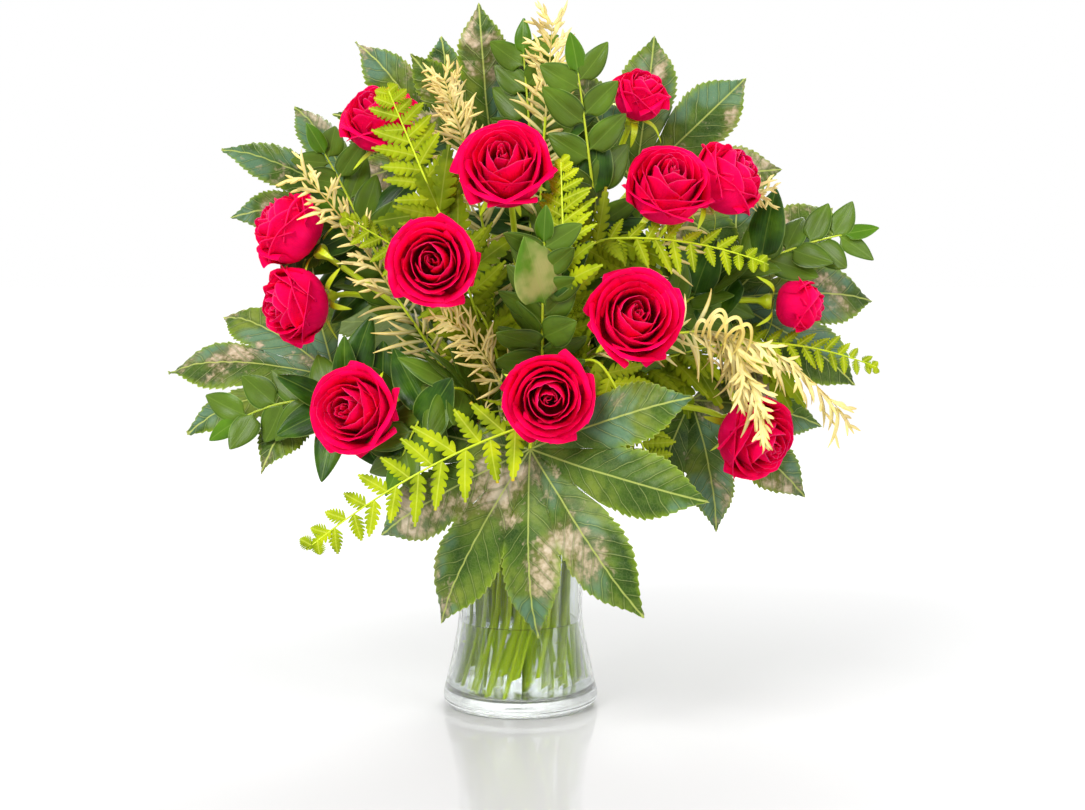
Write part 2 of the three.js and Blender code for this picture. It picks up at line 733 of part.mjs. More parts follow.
const shootBody = (row, i) => combBody(`ruscus_shoot_${i}`, row, RUSCUS_LEAFLET, SHOOT_STEM);
const fernBody = (row, i) => combBody(`fern_frond_${i}`, row, FERN_LEAFLET, FROND_STEM);
const sprayBody = (row, i) =>
  combBody(`grevillea_spray_${i}`, row, GREVILLEA_LEAFLET, SPRAY_STEM);

// ---- Vase and water ---------------------------------------------------------------------

function lathe(profile) {
  const points = profile.map(([r, z]) => new THREE.Vector2(r, z));
  const geometry = new THREE.LatheGeometry(points, VASE_SIDES);
  geometry.rotateX(Math.PI / 2);
  return geometry;
}

// The outside radius of the glass at a height above the heel.
function vaseRadius(z) {
  if (z < VASE_WAIST_HEIGHT) {
    const s = (z - VASE_HEEL_HEIGHT) / (VASE_WAIST_HEIGHT - VASE_HEEL_HEIGHT);
    return mix(VASE_BASE_RADIUS, VASE_WAIST_RADIUS, Math.sin(rad(90 * s)) * 0.35 + s * 0.65);
  }
  const s = (z - VASE_WAIST_HEIGHT) / (VASE_HEIGHT - VASE_WAIST_HEIGHT);
  return mix(VASE_WAIST_RADIUS, VASE_RIM_RADIUS, s * s);
}

const WALL_LEVELS = [VASE_HEEL_HEIGHT, 36, VASE_WAIST_HEIGHT, 126];

function vaseGeometry() {
  const outside = WALL_LEVELS.map((z) => [vaseRadius(z), z]);
  const inside = WALL_LEVELS.slice(1)
    .reverse()
    .map((z) => [vaseRadius(z) - GLASS_WALL, z]);
  return lathe([
    [0, 0],
    [VASE_FOOT_RADIUS, 0],
    [VASE_BASE_RADIUS - 2.5, 2.8],
    ...outside,
    [VASE_RIM_RADIUS, VASE_HEIGHT - 1],
    [VASE_RIM_RADIUS - GLASS_WALL / 2, VASE_HEIGHT],
    [VASE_RIM_RADIUS - GLASS_WALL, VASE_HEIGHT - 1],
    ...inside,
    [vaseRadius(GLASS_FLOOR + 3) - GLASS_WALL, GLASS_FLOOR + 3],
    [vaseRadius(GLASS_FLOOR) - GLASS_WALL - 4, GLASS_FLOOR],
    [0, GLASS_FLOOR],
  ]);
}

function waterSolid() {
  const gap = GLASS_WALL + CLEARANCE + 0.1;
  const bottom = GLASS_FLOOR + CLEARANCE;
  const sides = [GLASS_FLOOR + 3, 36, WATER_LEVEL].map((z) => [vaseRadius(z) - gap, z]);
  const full = solidOfGeometry(
    lathe([[0, bottom], [vaseRadius(GLASS_FLOOR) - gap - 4, bottom], ...sides, [0, WATER_LEVEL]]),
  );
  return waterHoles.reduce((rest, hole) => rest.subtract(hole), full);
}

// ---- The whole --------------------------------------------------------------------------

const petalRed = new THREE.MeshStandardMaterial({ color: 0xd0103a, roughness: 0.6 });
const stemGreen = new THREE.MeshStandardMaterial({ color: 0x7fa52a, roughness: 0.5 });
const araliaGreen = new THREE.MeshStandardMaterial({ color: 0x4a5f2c, roughness: 0.45 });
const fernGreen = new THREE.MeshStandardMaterial({ color: 0x8fb81e, roughness: 0.5 });
const ruscusGreen = new THREE.MeshStandardMaterial({ color: 0x2f5a1e, roughness: 0.35 });
const grevilleaGold = new THREE.MeshStandardMaterial({ color: 0xc9bb62, roughness: 0.55 });
const clearGlass = new THREE.MeshStandardMaterial({
  color: 0xf2f7f6,
  roughness: 0.03,
  transparent: true,
  opacity: 0.35,
});
const clearWater = new THREE.MeshStandardMaterial({
  color: 0xeaf5f2,
  roughness: 0.02,
  transparent: true,
  opacity: 0.3,
});

const group = new THREE.Group();

function addMesh(name, geometry, material) {
  const mesh = new THREE.Mesh(geometry, material);
  mesh.name = name;
  group.add(mesh);
  return mesh;
}

ROSES.forEach((rose, i) => {
  const parts = roseParts(rose, i + 1);
  const bloom = addMesh(parts.bloom.name, geometryOfSolid(parts.bloom.body), petalRed);
  bloom.position.copy(parts.bloom.base);
  bloom.quaternion.copy(parts.bloom.turned);
  addMesh(parts.stem.name, geometryOfSolid(parts.stem.body), stemGreen);
});

const FOLIAGE = [
  [ARALIAS, araliaBody, araliaGreen],
  [FERNS, fernBody, fernGreen],
  [SHOOTS, shootBody, ruscusGreen],
  [SPRAYS, sprayBody, grevilleaGold],
];
for (const [rows, make, material] of FOLIAGE) {
  rows.forEach((row, i) => {
    const { name, body } = make(row, i + 1);
    addMesh(name, geometryOfSolid(body), material);
  });
}

addMesh("vase", vaseGeometry(), clearGlass);
addMesh("water", geometryOfSolid(waterSolid()), clearWater);

export default group;
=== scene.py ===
"""A glass vase of red roses and mixed foliage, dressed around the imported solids.

Lengths in the tables are millimetres and angles are degrees, as a florist would measure them.
+Z is up, the bouquet faces -Y, and the origin is the middle of the vase's flat underside.
"""

import math

import bpy
import numpy as np
from bpy.props import FloatProperty, PointerProperty, StringProperty
from bpy.types import Operator, Panel, PropertyGroup
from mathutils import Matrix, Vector


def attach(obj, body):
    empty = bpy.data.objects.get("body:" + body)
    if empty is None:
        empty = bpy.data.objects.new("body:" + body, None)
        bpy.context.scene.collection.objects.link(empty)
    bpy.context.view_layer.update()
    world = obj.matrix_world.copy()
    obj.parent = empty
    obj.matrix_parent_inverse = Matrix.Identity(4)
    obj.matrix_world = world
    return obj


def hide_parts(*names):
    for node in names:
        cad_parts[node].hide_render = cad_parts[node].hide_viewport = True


bl_info = {
    "name": "Roses in a Vase",
    "version": (1, 0, 0),
    "blender": (4, 5, 0),
    "location": "3D View > Sidebar > Roses",
    "description": "Builds red roses, leaves, fronds, sprays, a glass vase and its water",
    "category": "Add Mesh",
}

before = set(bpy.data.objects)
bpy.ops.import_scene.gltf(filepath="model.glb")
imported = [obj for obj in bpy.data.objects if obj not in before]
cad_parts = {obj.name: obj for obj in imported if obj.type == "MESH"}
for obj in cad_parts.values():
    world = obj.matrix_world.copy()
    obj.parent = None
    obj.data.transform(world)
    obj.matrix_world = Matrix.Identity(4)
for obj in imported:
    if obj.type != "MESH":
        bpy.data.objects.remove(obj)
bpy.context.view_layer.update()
MM = 0.001

# ---- Vase and water ------------------------------------------------------------------------

VASE_BASE_RADIUS = 56.0
VASE_HEEL_HEIGHT = 9.0
VASE_WAIST_RADIUS = 44.7
VASE_WAIST_HEIGHT = 64.0
VASE_RIM_RADIUS = 52.0
VASE_HEIGHT = 188.0
GLASS_WALL = 3.0
GLASS_FLOOR = 10.0
WATER_LEVEL = 61.0
WATER_GAP = 0.4

# ---- Stems ---------------------------------------------------------------------------------

NECK_PLACES = 50
GOLDEN_ANGLE = 137.508
FOOT_SPREAD = 43.0
WAIST_SPREAD = 36.5
RIM_SPREAD = 43.0
FOOT_HEIGHT = 10.8
FOOT_STEP = 5.0
BEND_HEIGHT = 66.0
RIM_HEIGHT = 184.0
FOOT_TURN = -35.0
BEND_TURN = -15.0
HOME_LEAN = 80.0
LEAN_DEPTH = 40.0
LEAVE_PULL = 1.1
ARRIVE_PULL = 0.9
# A stem's line has points in the water, then in the neck, the last of which stands at the rim.
FOOT_POINTS = 7
NECK_POINTS = 12
RIM_POINT = FOOT_POINTS + NECK_POINTS - 1
ROSE_STEM_STEPS = 22
STALK_STEPS = 18
# Where a stalk goes over into its rib, as a share of the rib.
RIB_FOOT = 0.03
STEM_BARK = "rose_stem_green_bark"

# ---- Blooms --------------------------------------------------------------------------------

BLOOM_HEIGHT = 44.0
BLOOM_DEPTH = 30.0
HIP_LENGTH = 11.0
# The hip under a bloom: shares of its length back from the bloom, and its radius there.
HIP = ((0.72, 3.4), (0.5, 5.2), (0.28, 5.9), (0.06, 5.2))
BLOOM_MIDDLE = 14.0

# Blooms: the middle of the open face, the way it faces (turned to the right of -Y, then
# tipped up), its size against the full bloom, and how far it has opened.
ROSES = [
    ((-99, -40, 424), -20, 50, 1.0, 0.88),
    ((-9, -110, 386), -4, 25, 1.12, 0.92),
    ((87, -10, 442), 25, 50, 0.84, 0.75),
    ((100, -95, 375), 8, 35, 1.08, 0.9),
    ((148, -50, 381), 60, 35, 1.04, 0.88),
    ((-166, -40, 347), -70, 35, 1.06, 0.84),
    ((-54, -150, 320), -2, 5, 1.0, 1.0),
    ((-162, -45, 289), -55, -10, 1.04, 0.9),
    ((76, -150, 287), 8, 15, 1.06, 1.0),
    ((205, -10, 289), 80, -5, 0.84, 0.72),
    ((-112, -100, 222), -20, 8, 1.06, 0.98),
    ((20, -150, 233), 0, 0, 1.0, 1.0),
    ((167, -70, 197), 40, -20, 1.08, 0.95),
]

# Aralia leaves: hub, middle lobe's tip, roll, lobes each side, angle between lobes, length of
# the side lobes against the middle one, and arch.
ARALIAS = [
    ((8, -104, 196), (14, -130, 74), 26, 3, 34, 1.1, 8),
    ((-135, 20, 235), (-262, 36, 238), 16, 2, 34, 0.92, 12),
    ((-113, 34, 357), (-215, 27, 406), 8, 2, 34, 0.92, 7),
    ((-58, 62, 400), (-116, 46, 484), 7, 2, 36, 0.9, 5),
    ((-22, 44, 408), (-33, 18, 504), -3, 2, 36, 0.9, 12),
    ((83, 30, 375), (164, 36, 455), 23, 2, 38, 1.0, 6),
    ((152, 36, 292), (263, 55, 296), 14, 2, 40, 1.05, 13),
    ((124, 20, 219), (204, 0, 148), 0, 2, 36, 0.95, 8),
    ((-70, 110, 285), (-145, 169, 330), 172, 2, 36, 0.95, 12),
    ((60, 115, 290), (123, 166, 325), 140, 2, 36, 0.95, 9),
]

# Fern fronds: start of the leafy part, tip, arch, roll, and size of the leaflets.
FERNS = [
    ((0, -128, 212), (-137, -139, 134), 16, -7, 1.0),
    ((-52, -78, 350), (-88, -73, 436), 0, 0, 0.95),
    ((30, -118, 318), (28, -101, 387), -2, -33, 0.75),
    ((58, -118, 248), (92, -116, 172), 10, 0, 0.95),
    ((60, -80, 335), (166, -96, 318), 12, 0, 0.7),
    ((165, -6, 262), (256, -12, 244), 10, 0, 0.6),
    ((-40, -60, 300), (-118, -79, 350), 4, 6, 0.75),
    ((0, 80, 300), (0, 150, 380), 10, 0, 1.0),
]

# Ruscus shoots and grevillea sprays: as the ferns.
SHOOTS = [
    ((52, -40, 360), (39, -59, 455), 4, -5, 1.1),
    ((-120, -50, 220), (-202, -39, 206), 19, -19, 1.1),
    ((-52, -96, 232), (-82, -92, 178), 16, 12, 1.0),
    ((16, -104, 278), (17, -136, 338), -4, -12, 1.0),
    ((-110, -6, 340), (-140, -12, 400), 4, 0, 1.0),
    ((170, 0, 318), (236, -6, 340), 6, 0, 1.0),
    ((8, 8, 400), (2, 8, 474), 0, -8, 1.0),
]

SPRAYS = [
    ((18, -6, 420), (23, -13, 487), -3, 8, 0.9),
    ((114, -90, 273), (218, -84, 218), 33, -15, 1.1),
    ((-85, -63, 298), (-143, -81, 377), 9, 10, 0.9),
    ((-12, -90, 240), (-49, -120, 285), 11, -9, 0.8),
    ((120, -20, 352), (170, -22, 368), 16, 6, 0.8),
    ((-39, -28, 404), (-52, -35, 446), 1, -5, 0.8),
]

# Leaves turn their faces to the front and a little upwards.
LEAF_FACING = (0, -0.85, 0.5)
# The leaves on the stalks keep this far from the blooms and from the middle of the vase.
CLEARANCE = 3.0
VASE_ROOM = 60.0
# Where each kind of piece starts its random draws.
SEEDS = {"bloom": 100, "rose": 200, "aralia": 300, "fern": 400, "shoot": 500, "spray": 600}

# ---- Camera and lamps ----------------------------------------------------------------------

CAMERA_PLACE = (0.016, -1.3, 0.32)
CAMERA_TILT = 4.53
CAMERA_LENS = 60.15
CAMERA_SENSOR = 36.0
LAMP_AIM = (0, 0, 0.28)


# ---- Small tools ---------------------------------------------------------------------------


def vec(*values):
    """An array of the given numbers, or of one list of them."""
    return np.array(values[0] if len(values) == 1 else values, float)


def mix(a, b, t):
    """The value between a and b."""
    return a + (b - a) * t


def unit(v):
    """The vector or vectors, one unit long."""
    return v / np.maximum(np.linalg.norm(v, axis=-1, keepdims=True), 1e-9)


def smooth(x, low, high):
    """0 below low, 1 above high and an even S between them."""
    t = np.clip((x - low) / (high - low), 0, 1)
    return t * t * (3 - 2 * t)


def together(*parts):
    """Arrays and numbers side by side, as the parts of points, UVs or marks."""
    return np.stack(np.broadcast_arrays(*parts), axis=-1)


def set_out(start, *steps):
    """Points off a start. Each step is a direction and how far each of them goes that way."""
    for direction, amount in steps:
        start = start + direction * amount[..., None]
    return start


def lengths_along(line):
    """The length of a line up to each of its points."""
    return np.concatenate([[0], np.cumsum(np.linalg.norm(np.diff(line, axis=0), axis=1))])


def dice(kind, index):
    """The random draws of one piece, the same in every run."""
    return np.random.default_rng(SEEDS[kind] + index)


def turn_about(v, axis, degrees):
    """A vector turned about an axis of unit length."""
    a = math.radians(degrees)
    turned = v * math.cos(a) + np.cross(axis, v) * math.sin(a)
    return turned + axis * (v @ axis) * (1 - math.cos(a))


def facing(turn, tip):
    """The direction that is turned from -Y to the right, and then tipped up."""
    a, b = math.radians(turn), math.radians(tip)
    return vec(math.sin(a) * math.cos(b), -math.cos(a) * math.cos(b), math.sin(b))


def turn_to(way):
    """The rotation that takes +Z to a direction along the shortest way."""
    up = vec(0, 0, 1)
    axis = np.cross(up, way)
    sine = np.linalg.norm(axis)
    if sine < 1e-9:
        return np.eye(3)
    angle = math.degrees(math.atan2(sine, up @ way))
    return np.stack([turn_about(e, axis / sine, angle) for e in np.eye(3)], axis=1)


def face_frame(heading, roll):
    """The face and side directions of a blade that lies along a heading."""
    to_front = vec(LEAF_FACING)
    face = turn_about(unit(to_front - heading * (to_front @ heading)), heading, roll)
    return face, np.cross(heading, face)


def aimed(place, way, face):
    """How a leaf stands: its foot, and the directions of its tip, its side and its face."""
    way = unit(way)
    return place, way, unit(np.cross(face, way)), face


class Rib:
    """The arched rib or twig that leaflets stand on."""

    def __init__(self, start, tip, lift, roll):
        self.start, self.tip, self.lift, self.roll = vec(start), vec(tip), lift, roll

    def at(self, s):
        """The point at a share of the rib, and the heading there."""
        control = (self.start + self.tip) / 2 + vec(0, 0, self.lift)
        place = self.start * (1 - s) ** 2 + control * 2 * s * (1 - s) + self.tip * s**2
        return place, unit((control - self.start) * (1 - s) + (self.tip - control) * s)

    def spot(self, s):
        """The point at a share of the rib with its heading, side and face."""
        place, heading = self.at(s)
        face, side = face_frame(heading, self.roll)
        return place, heading, side, face

    def add_twig(self, net, end, thick, thin, sides, marks, surface):
        """Adds the round rib itself, out to a share of it. marks has one entry per ring."""
        line = np.array([self.at(s)[0] for s in np.linspace(0, end, len(marks))])
        radii = mix(thick, thin, np.linspace(0, 1, len(marks)))
        add_bar(net, line, radii, sides, marks, surface=surface)


# ---- Places in the neck --------------------------------------------------------------------


def bloom_foot(index):
    """The foot of a bloom, and the way that it faces."""
    at, turn, tip, size, _ = ROSES[index]
    way = facing(turn, tip)
    return vec(at) - way * BLOOM_DEPTH * size, way


def place_at(place, spread, turn, height):
    """A place among the stems: they fill the neck like the seeds of a sunflower."""
    radius = spread * math.sqrt((place + 0.5) / NECK_PLACES)
    angle = math.radians(place * GOLDEN_ANGLE + turn)
    return vec(radius * math.cos(angle), radius * math.sin(angle), height)


def take_place(target, taken):
    """The free place nearest to where a stem that leads to a point would leave the neck."""
    away = math.hypot(target[0], target[1])
    lean = math.atan2(away, target[2] - VASE_HEIGHT + LEAN_DEPTH) / math.radians(HOME_LEAN)
    wanted = vec(target[0], target[1], 0) / away * RIM_SPREAD * min(lean, 1)
    free = [p for p in range(NECK_PLACES) if p not in taken]
    best = min(free, key=lambda p: np.linalg.norm(place_at(p, RIM_SPREAD, 0, 0) - wanted))
    taken.append(best)
    return best


def neck_places():
    """Each stem's place, taken in the order in which the solids take them."""
    taken = []
    places = {("rose", i): take_place(bloom_foot(i)[0], taken) for i in range(len(ROSES))}
    for kind, rows in {"aralia": ARALIAS, "fern": FERNS, "shoot": SHOOTS, "spray": SPRAYS}.items():
        for i, row in enumerate(rows):
            places[kind, i] = take_place(vec(row[0]), taken)
    return places


PLACES = neck_places()


def stem_line(kind, index, end, arrive, steps):
    """The line of a stem from its foot in the water, through the neck, to its end."""
    place = PLACES[kind, index]
    foot = place_at(place, FOOT_SPREAD, FOOT_TURN, FOOT_HEIGHT + FOOT_STEP * (place % 4))
    waist = place_at(place, WAIST_SPREAD, BEND_TURN, BEND_HEIGHT)
    rim = place_at(place, RIM_SPREAD, 0, RIM_HEIGHT)
    reach = np.linalg.norm(end - rim)
    leave = unit(rim - waist) * reach * LEAVE_PULL
    arrive = arrive * reach * ARRIVE_PULL
    line = [mix(foot, waist, t) for t in np.linspace(0, 0.86, FOOT_POINTS)]
    line += [mix(waist, rim, t) for t in np.linspace(0.08, 0.95, NECK_POINTS)]
    for s in np.linspace(0, 1, steps + 1)[1:]:
        line.append(
            rim * (2 * s**3 - 3 * s**2 + 1)
            + leave * (s**3 - 2 * s**2 + s)
            + end * (3 * s**2 - 2 * s**3)
            + arrive * (s**3 - s**2)
        )
    return np.array(line)


def stalk_spots(line, roll, first, last, gap, rng):
    """Places where leaves stand on a stalk, from one share to another of its length above the
    rim and about `gap` apart: each with the stalk's heading, a side and a face direction."""
    line = line[RIM_POINT:]
    length = lengths_along(line)
    spots = []
    for at in np.arange(first * length[-1], last * length[-1], gap):
        at += rng.uniform(-0.2, 0.2) * gap
        here, ahead = (
            np.array([np.interp(a, length, line[:, k]) for k in range(3)]) for a in (at, at + 2)
        )
        heading = unit(ahead - here)
        face, side = face_frame(heading, roll + rng.uniform(-50, 50))
        spots.append((here, heading, side, face))
    return spots


def is_clear(start, end):
    """True if the line between two points keeps out of every bloom and of the vase."""
    points = mix(start, end, np.linspace(0, 1, 7)[:, None])
    low = points[points[:, 2] < VASE_HEIGHT + CLEARANCE]
    if (np.hypot(low[:, 0], low[:, 1]) < VASE_ROOM).any():
        return False
    for at, turn, tip, size, openness in ROSES:
        middle = vec(at) - facing(turn, tip) * BLOOM_MIDDLE * size
        reach = (22 + 8 * openness) * size + CLEARANCE
        if (np.linalg.norm(points - middle, axis=1) < reach).any():
            return False
    return True


def stalk_leaves(rng, line, roll, shares, gap, aim, size, sizes):
    """The leaves in pairs on a stalk that keep clear of the blooms and the vase: how each
    stands, and its length. aim gives a leaf's direction from its side, heading and face."""
    for place, heading, side, face in stalk_spots(line, roll, *shares, gap, rng):
        for hand in (-1, 1):
            stand = aimed(place, aim(side * hand, heading, face), face)
            length = size * rng.uniform(*sizes)
            if is_clear(place, place + stand[1] * length):
                yield stand, length


def set_leaves(rows, index):
    """The leaves of a table that grow from one frond or shoot: how each stands, its length,
    and the rest of its row."""
    for owner, foot, point, *rest in rows:
        if owner == index:
            span = vec(point) - vec(foot)
            way = unit(span)
            face, side = face_frame(way, 0)
            yield (vec(foot), way, side, face), np.linalg.norm(span), *rest


# ---- Nets: what a piece is gathered in before it becomes a mesh ----------------------------


def new_object(name, data):
    """A new object in the scene, the only one selected."""
    made = bpy.data.objects.new(name, data)
    bpy.context.scene.collection.objects.link(made)
    bpy.ops.object.select_all(action="DESELECT")
    made.select_set(True)
    bpy.context.view_layer.objects.active = made
    return made


def stand_in(piece, materials, node):
    """Gives a piece its materials, hangs it under the root body, and hides the solid that it stands
    for.
    """
    for material in materials:
        piece.data.materials.append(material)
    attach(piece, "root")
    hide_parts(node)


class Net:
    """Points, faces and marks of one piece. Each point has a UV and a mark of three numbers,
    which the materials read: what they hold is said where they are made."""

    def __init__(self):
        self.points = []
        self.faces = []
        self.uvs = []
        self.marks = []
        self.surfaces = []
        self.count = 0

    def add(self, points, faces, uvs, marks, surface=0):
        """Adds points with their UVs and marks, and faces that number those points from 0 and
        show the piece's first material, or the one that surface numbers."""
        self.points.append(points)
        self.uvs.append(np.broadcast_to(uvs, (len(points), 2)))
        self.marks.append(np.broadcast_to(marks, (len(points), 3)))
        self.faces += [tuple(i + self.count for i in face) for face in faces]
        self.surfaces += [surface] * len(faces)
        self.count += len(points)

    def make(self, name, materials, node, smooth_angle=60):
        """Makes the mesh object of the net, in metres, smooth apart from its sharp edges."""
        mesh = bpy.data.meshes.new(name)
        points = np.concatenate(self.points) * MM
        mesh.from_pydata(points.tolist(), [], self.faces)
        loops = np.empty(len(mesh.loops), np.int32)
        mesh.loops.foreach_get("vertex_index", loops)
        uv = mesh.uv_layers.new(name="UVMap")
        uv.data.foreach_set("uv", np.concatenate(self.uvs)[loops].astype(np.float32).ravel())
        mark = mesh.attributes.new("mark", "FLOAT_VECTOR", "POINT")
        mark.data.foreach_set("vector", np.concatenate(self.marks).astype(np.float32).ravel())
        mesh.polygons.foreach_set("material_index", self.surfaces)
        piece = new_object(name, mesh)
        stand_in(piece, materials, node)
        mesh.update()
        bpy.ops.object.shade_smooth_by_angle(angle=math.radians(smooth_angle))


def grid_faces(rows, columns):
    """The quads of a grid of points, row by row."""
    first = [i * columns + j for i in range(rows - 1) for j in range(columns - 1)]
    return [(a, a + 1, a + 1 + columns, a + columns) for a in first]


def add_sheet(net, grid, thickness, uvs, marks):
    """A thin blade: a grid of points (rows, columns, 3) given two faces that meet in a sharp
    edge all round. thickness is one number or has one entry per grid point, as uvs and marks
    have. The third mark says which face it is: 1 on the one that the grid's normals point
    from, and 0 on the other."""
    rows, columns = grid.shape[:2]
    inner = np.zeros((rows, columns), bool)
    inner[1:-1, 1:-1] = True
    half = np.where(inner, thickness, 0.0)[..., None] / 2
    normals = unit(np.cross(np.gradient(grid, axis=1), np.gradient(grid, axis=0)))
    inner = inner.ravel()
    upper = (grid + normals * half).reshape(-1, 3)
    lower = (grid - normals * half).reshape(-1, 3)
    upper_marks = np.broadcast_to(marks, grid.shape).reshape(-1, 3).copy()
    upper_marks[:, 2] = 1
    lower_marks = upper_marks * (1, 1, 0)
    flat_uvs = np.broadcast_to(uvs, (rows, columns, 2)).reshape(-1, 2)
    # The two faces share the points of the edge.
    number = np.arange(rows * columns)
    number[inner] = rows * columns + np.arange(inner.sum())
    top = grid_faces(rows, columns)
    net.add(
        np.concatenate([upper, lower[inner]]),
        top + [tuple(int(number[i]) for i in reversed(face)) for face in top],
        np.concatenate([flat_uvs, flat_uvs[inner]]),
        np.concatenate([upper_marks, lower_marks[inner]]),
    )


def frames_along(line):
    """Tangent and two cross directions at each point of a line, turned as little as can be."""
    tangents = unit(np.gradient(line, axis=0))
    side = vec(1, 0, 0) if abs(tangents[0][0]) < 0.9 else vec(0, 1, 0)
    sides = []
    for tangent in tangents:
        side = unit(side - tangent * (side @ tangent))
        sides.append(side)
    sides = np.array(sides)
    return tangents, sides, np.cross(tangents, sides)


def add_bar(net, line, radii, sides, marks, cut=0.0, surface=0):
    """A closed round bar along a line. Its foot is cut at a slant of `cut` times its width.
    The UV runs round it and, in millimetres, along it. marks is one mark or one per ring."""
    tangents, side, other = frames_along(line)
    angle = np.linspace(0, 2 * np.pi, sides, endpoint=False)
    ring = side[:, None] * np.cos(angle)[:, None] + other[:, None] * np.sin(angle)[:, None]
    points = line[:, None] + ring * np.asarray(radii)[:, None, None]
    points[0] += tangents[0] * (np.cos(angle) * radii[0] * cut)[:, None]
    length = lengths_along(line)
    rings = len(line)
    uvs = together(1 - np.abs(2 * angle / (2 * np.pi) - 1), length[:, None])
    marks = np.broadcast_to(marks, (rings, 3)).astype(float)
    after = [(j + 1) % sides for j in range(sides)]
    rows = [i * sides for i in range(rings - 1)]
    turns = [(a + j, a + k) for a in rows for j, k in enumerate(after)]
    faces = [(a, b, b + sides, a + sides) for a, b in turns]
    all_marks = np.repeat(marks, sides, axis=0)
    net.add(points.reshape(-1, 3), faces, uvs.reshape(-1, 2), all_marks, surface)
    for end in (0, rings - 1):
        fan = [(j, k, sides) for j, k in enumerate(after)]
        cap_marks = marks[end].copy()
        if end == 0:
            fan = [tuple(reversed(face)) for face in fan]
            cap_marks[1] = 1 if cut else cap_marks[1]
        rim = points[end]
        net.add(np.concatenate([rim, [rim.mean(axis=0)]]), fan, length[end], cap_marks, surface)


# ---- Materials -----------------------------------------------------------------------------


def linear(code):
    """An sRGB hex colour as the linear values that a shader takes."""
    values = [int(code[i : i + 2], 16) / 255 for i in (1, 3, 5)]
    return *(c / 12.92 if c <= 0.04045 else ((c + 0.055) / 1.055) ** 2.4 for c in values), 1.0


def put(tree, kind, sockets=None, out=0, stops=(), **settings):
    """Adds a node and gives back one of its outputs, if it has any. Its sockets are filled, by
    number or name, with numbers, hex colours or other nodes' outputs. Settings are its own
    properties, and stops are the places and colours of a colour ramp."""
    node = tree.nodes.new("ShaderNode" + kind)
    for key, value in settings.items():
        setattr(node, key, value)
    for key, value in (sockets or {}).items():
        if isinstance(value, bpy.types.NodeSocket):
            tree.links.new(value, node.inputs[key])
        else:
            node.inputs[key].default_value = linear(value) if isinstance(value, str) else value
    for i, (place, code) in enumerate(stops):
        elements = node.color_ramp.elements
        element = elements[i] if i < 2 else elements.new(place)
        element.position = place
        element.color = linear(code)
    return node.outputs[out] if node.outputs else None


def new_material(name, surface):
    """A material with its shader, whose sockets are set, and the inputs that patterns use:
    its tree, the piece's UV map, object coordinates and the three numbers of its mark."""
    material = bpy.data.materials.new(name)
    material.use_nodes = True
    tree = material.node_tree
    tree.nodes.clear()
    shader = put(tree, "BsdfPrincipled", surface)
    put(tree, "OutputMaterial", {"Surface": shader})
    uv = put(tree, "UVMap")
    place = put(tree, "TexCoord", out="Object")
    mark = put(tree, "Attribute", out="Vector", attribute_name="mark")
    mark = put(tree, "SeparateXYZ", {0: mark}).node.outputs
    return material, tree, uv, place, mark


def patches(tree, vector, size, detail=2.0, stretch=(1, 1, 1)):
    """Soft patches about `size` millimetres across, longer along an axis where stretch is
    under 1. The vector is in metres."""
    vector = put(tree, "Mapping", {"Vector": vector, "Scale": stretch})
    return put(tree, "TexNoise", {"Vector": vector, "Scale": 1000 / size, "Detail": detail})


def lay(tree, colour, *layers):
    """Lays colours over a first one. Each layer has its colour, the value that brings it on,
    where that starts and ends (the end may be the smaller), and the share that it then has."""
    for above, value, low, high, share in layers:
        ends = {1: low, 2: high, 3: 0.0, 4: share}
        if low > high:
            ends = {1: high, 2: low, 3: share, 4: 0.0}
        cover = put(tree, "MapRange", {0: value, **ends}, interpolation_type="SMOOTHSTEP")
        colour = put(tree, "Mix", {0: cover, 6: colour, 7: above}, 2, data_type="RGBA")
    return colour


def finish_surface(material, colour, height, depth):
    """Joins a colour and a relief, `depth` millimetres deep, to the shader."""
    tree = material.node_tree
    shader = tree.nodes["Principled BSDF"]
    tree.links.new(colour, shader.inputs["Base Color"])
    relief = put(tree, "Bump", {"Height": height, "Distance": depth * MM, "Strength": 1.0})
    tree.links.new(relief, shader.inputs["Normal"])
    return material


def petal_velvet(look):
    """Fresh rose petal: matt crimson cells that stand like velvet, so the faces are one even
    strong red and the folds between them go dark, with painted shade at the root of each open
    face deep in the bloom; the thin rims carry a painted pink highlight. UV: metres across and
    up the petal. Marks: x rim, y ring from heart to outside, z outer face."""
    surface = {
        "Roughness": 0.65,
        "Specular IOR Level": 0.03,
        "Sheen Weight": 0.02,
        "Sheen Roughness": 0.4,
        "Sheen Tint": "#FF3C78",
        "Subsurface Weight": 0.22,
        "Subsurface Radius": (1.0, 0.05, 0.35),
        "Subsurface Scale": 0.003,
    }
    material, tree, uv, place, (rim, ring, outer) = new_material("rose_petal_fresh_velvet", surface)
    veins = patches(tree, uv, 1.3, 3, (1, 0.07, 1))
    stops = ((0.3, look.petal_deep), (0.55, look.petal_red), (0.75, look.petal_light))
    red = put(tree, "ValToRGB", {0: patches(tree, place, 16)}, stops=stops)
    height = put(tree, "SeparateXYZ", {0: uv}, 1)
    depth = put(tree, "Math", {0: height, 1: outer}, operation="ADD")
    pink = put(tree, "MapRange", {0: ring, 2: 0.7, 3: 0.6, 4: 0.16})
    red = lay(
        tree,
        red,
        (look.petal_deep, veins, 0.45, 0.7, 0.3),
        # The outside of a petal is paler and duller than the face that it opens.
        ("#E01058", outer, 0.1, 0.9, 0.25),
        # Painted shade: the root of that face, deep in the bloom, is painted darker where shade
        # falls.
        ("#B00034", depth, 0.03, 0.01, 0.25),
        # Handling leaves small dark bruises.
        ("#A00A38", patches(tree, place, 7, 4), 0.7, 0.8, 0.5),
        # Painted highlight: the rims are painted pink, most strongly in the heart.
        (look.petal_rim_highlight, rim, 0.972, 1.0, pink),
    )
    return finish_surface(material, red, veins, 0.3)


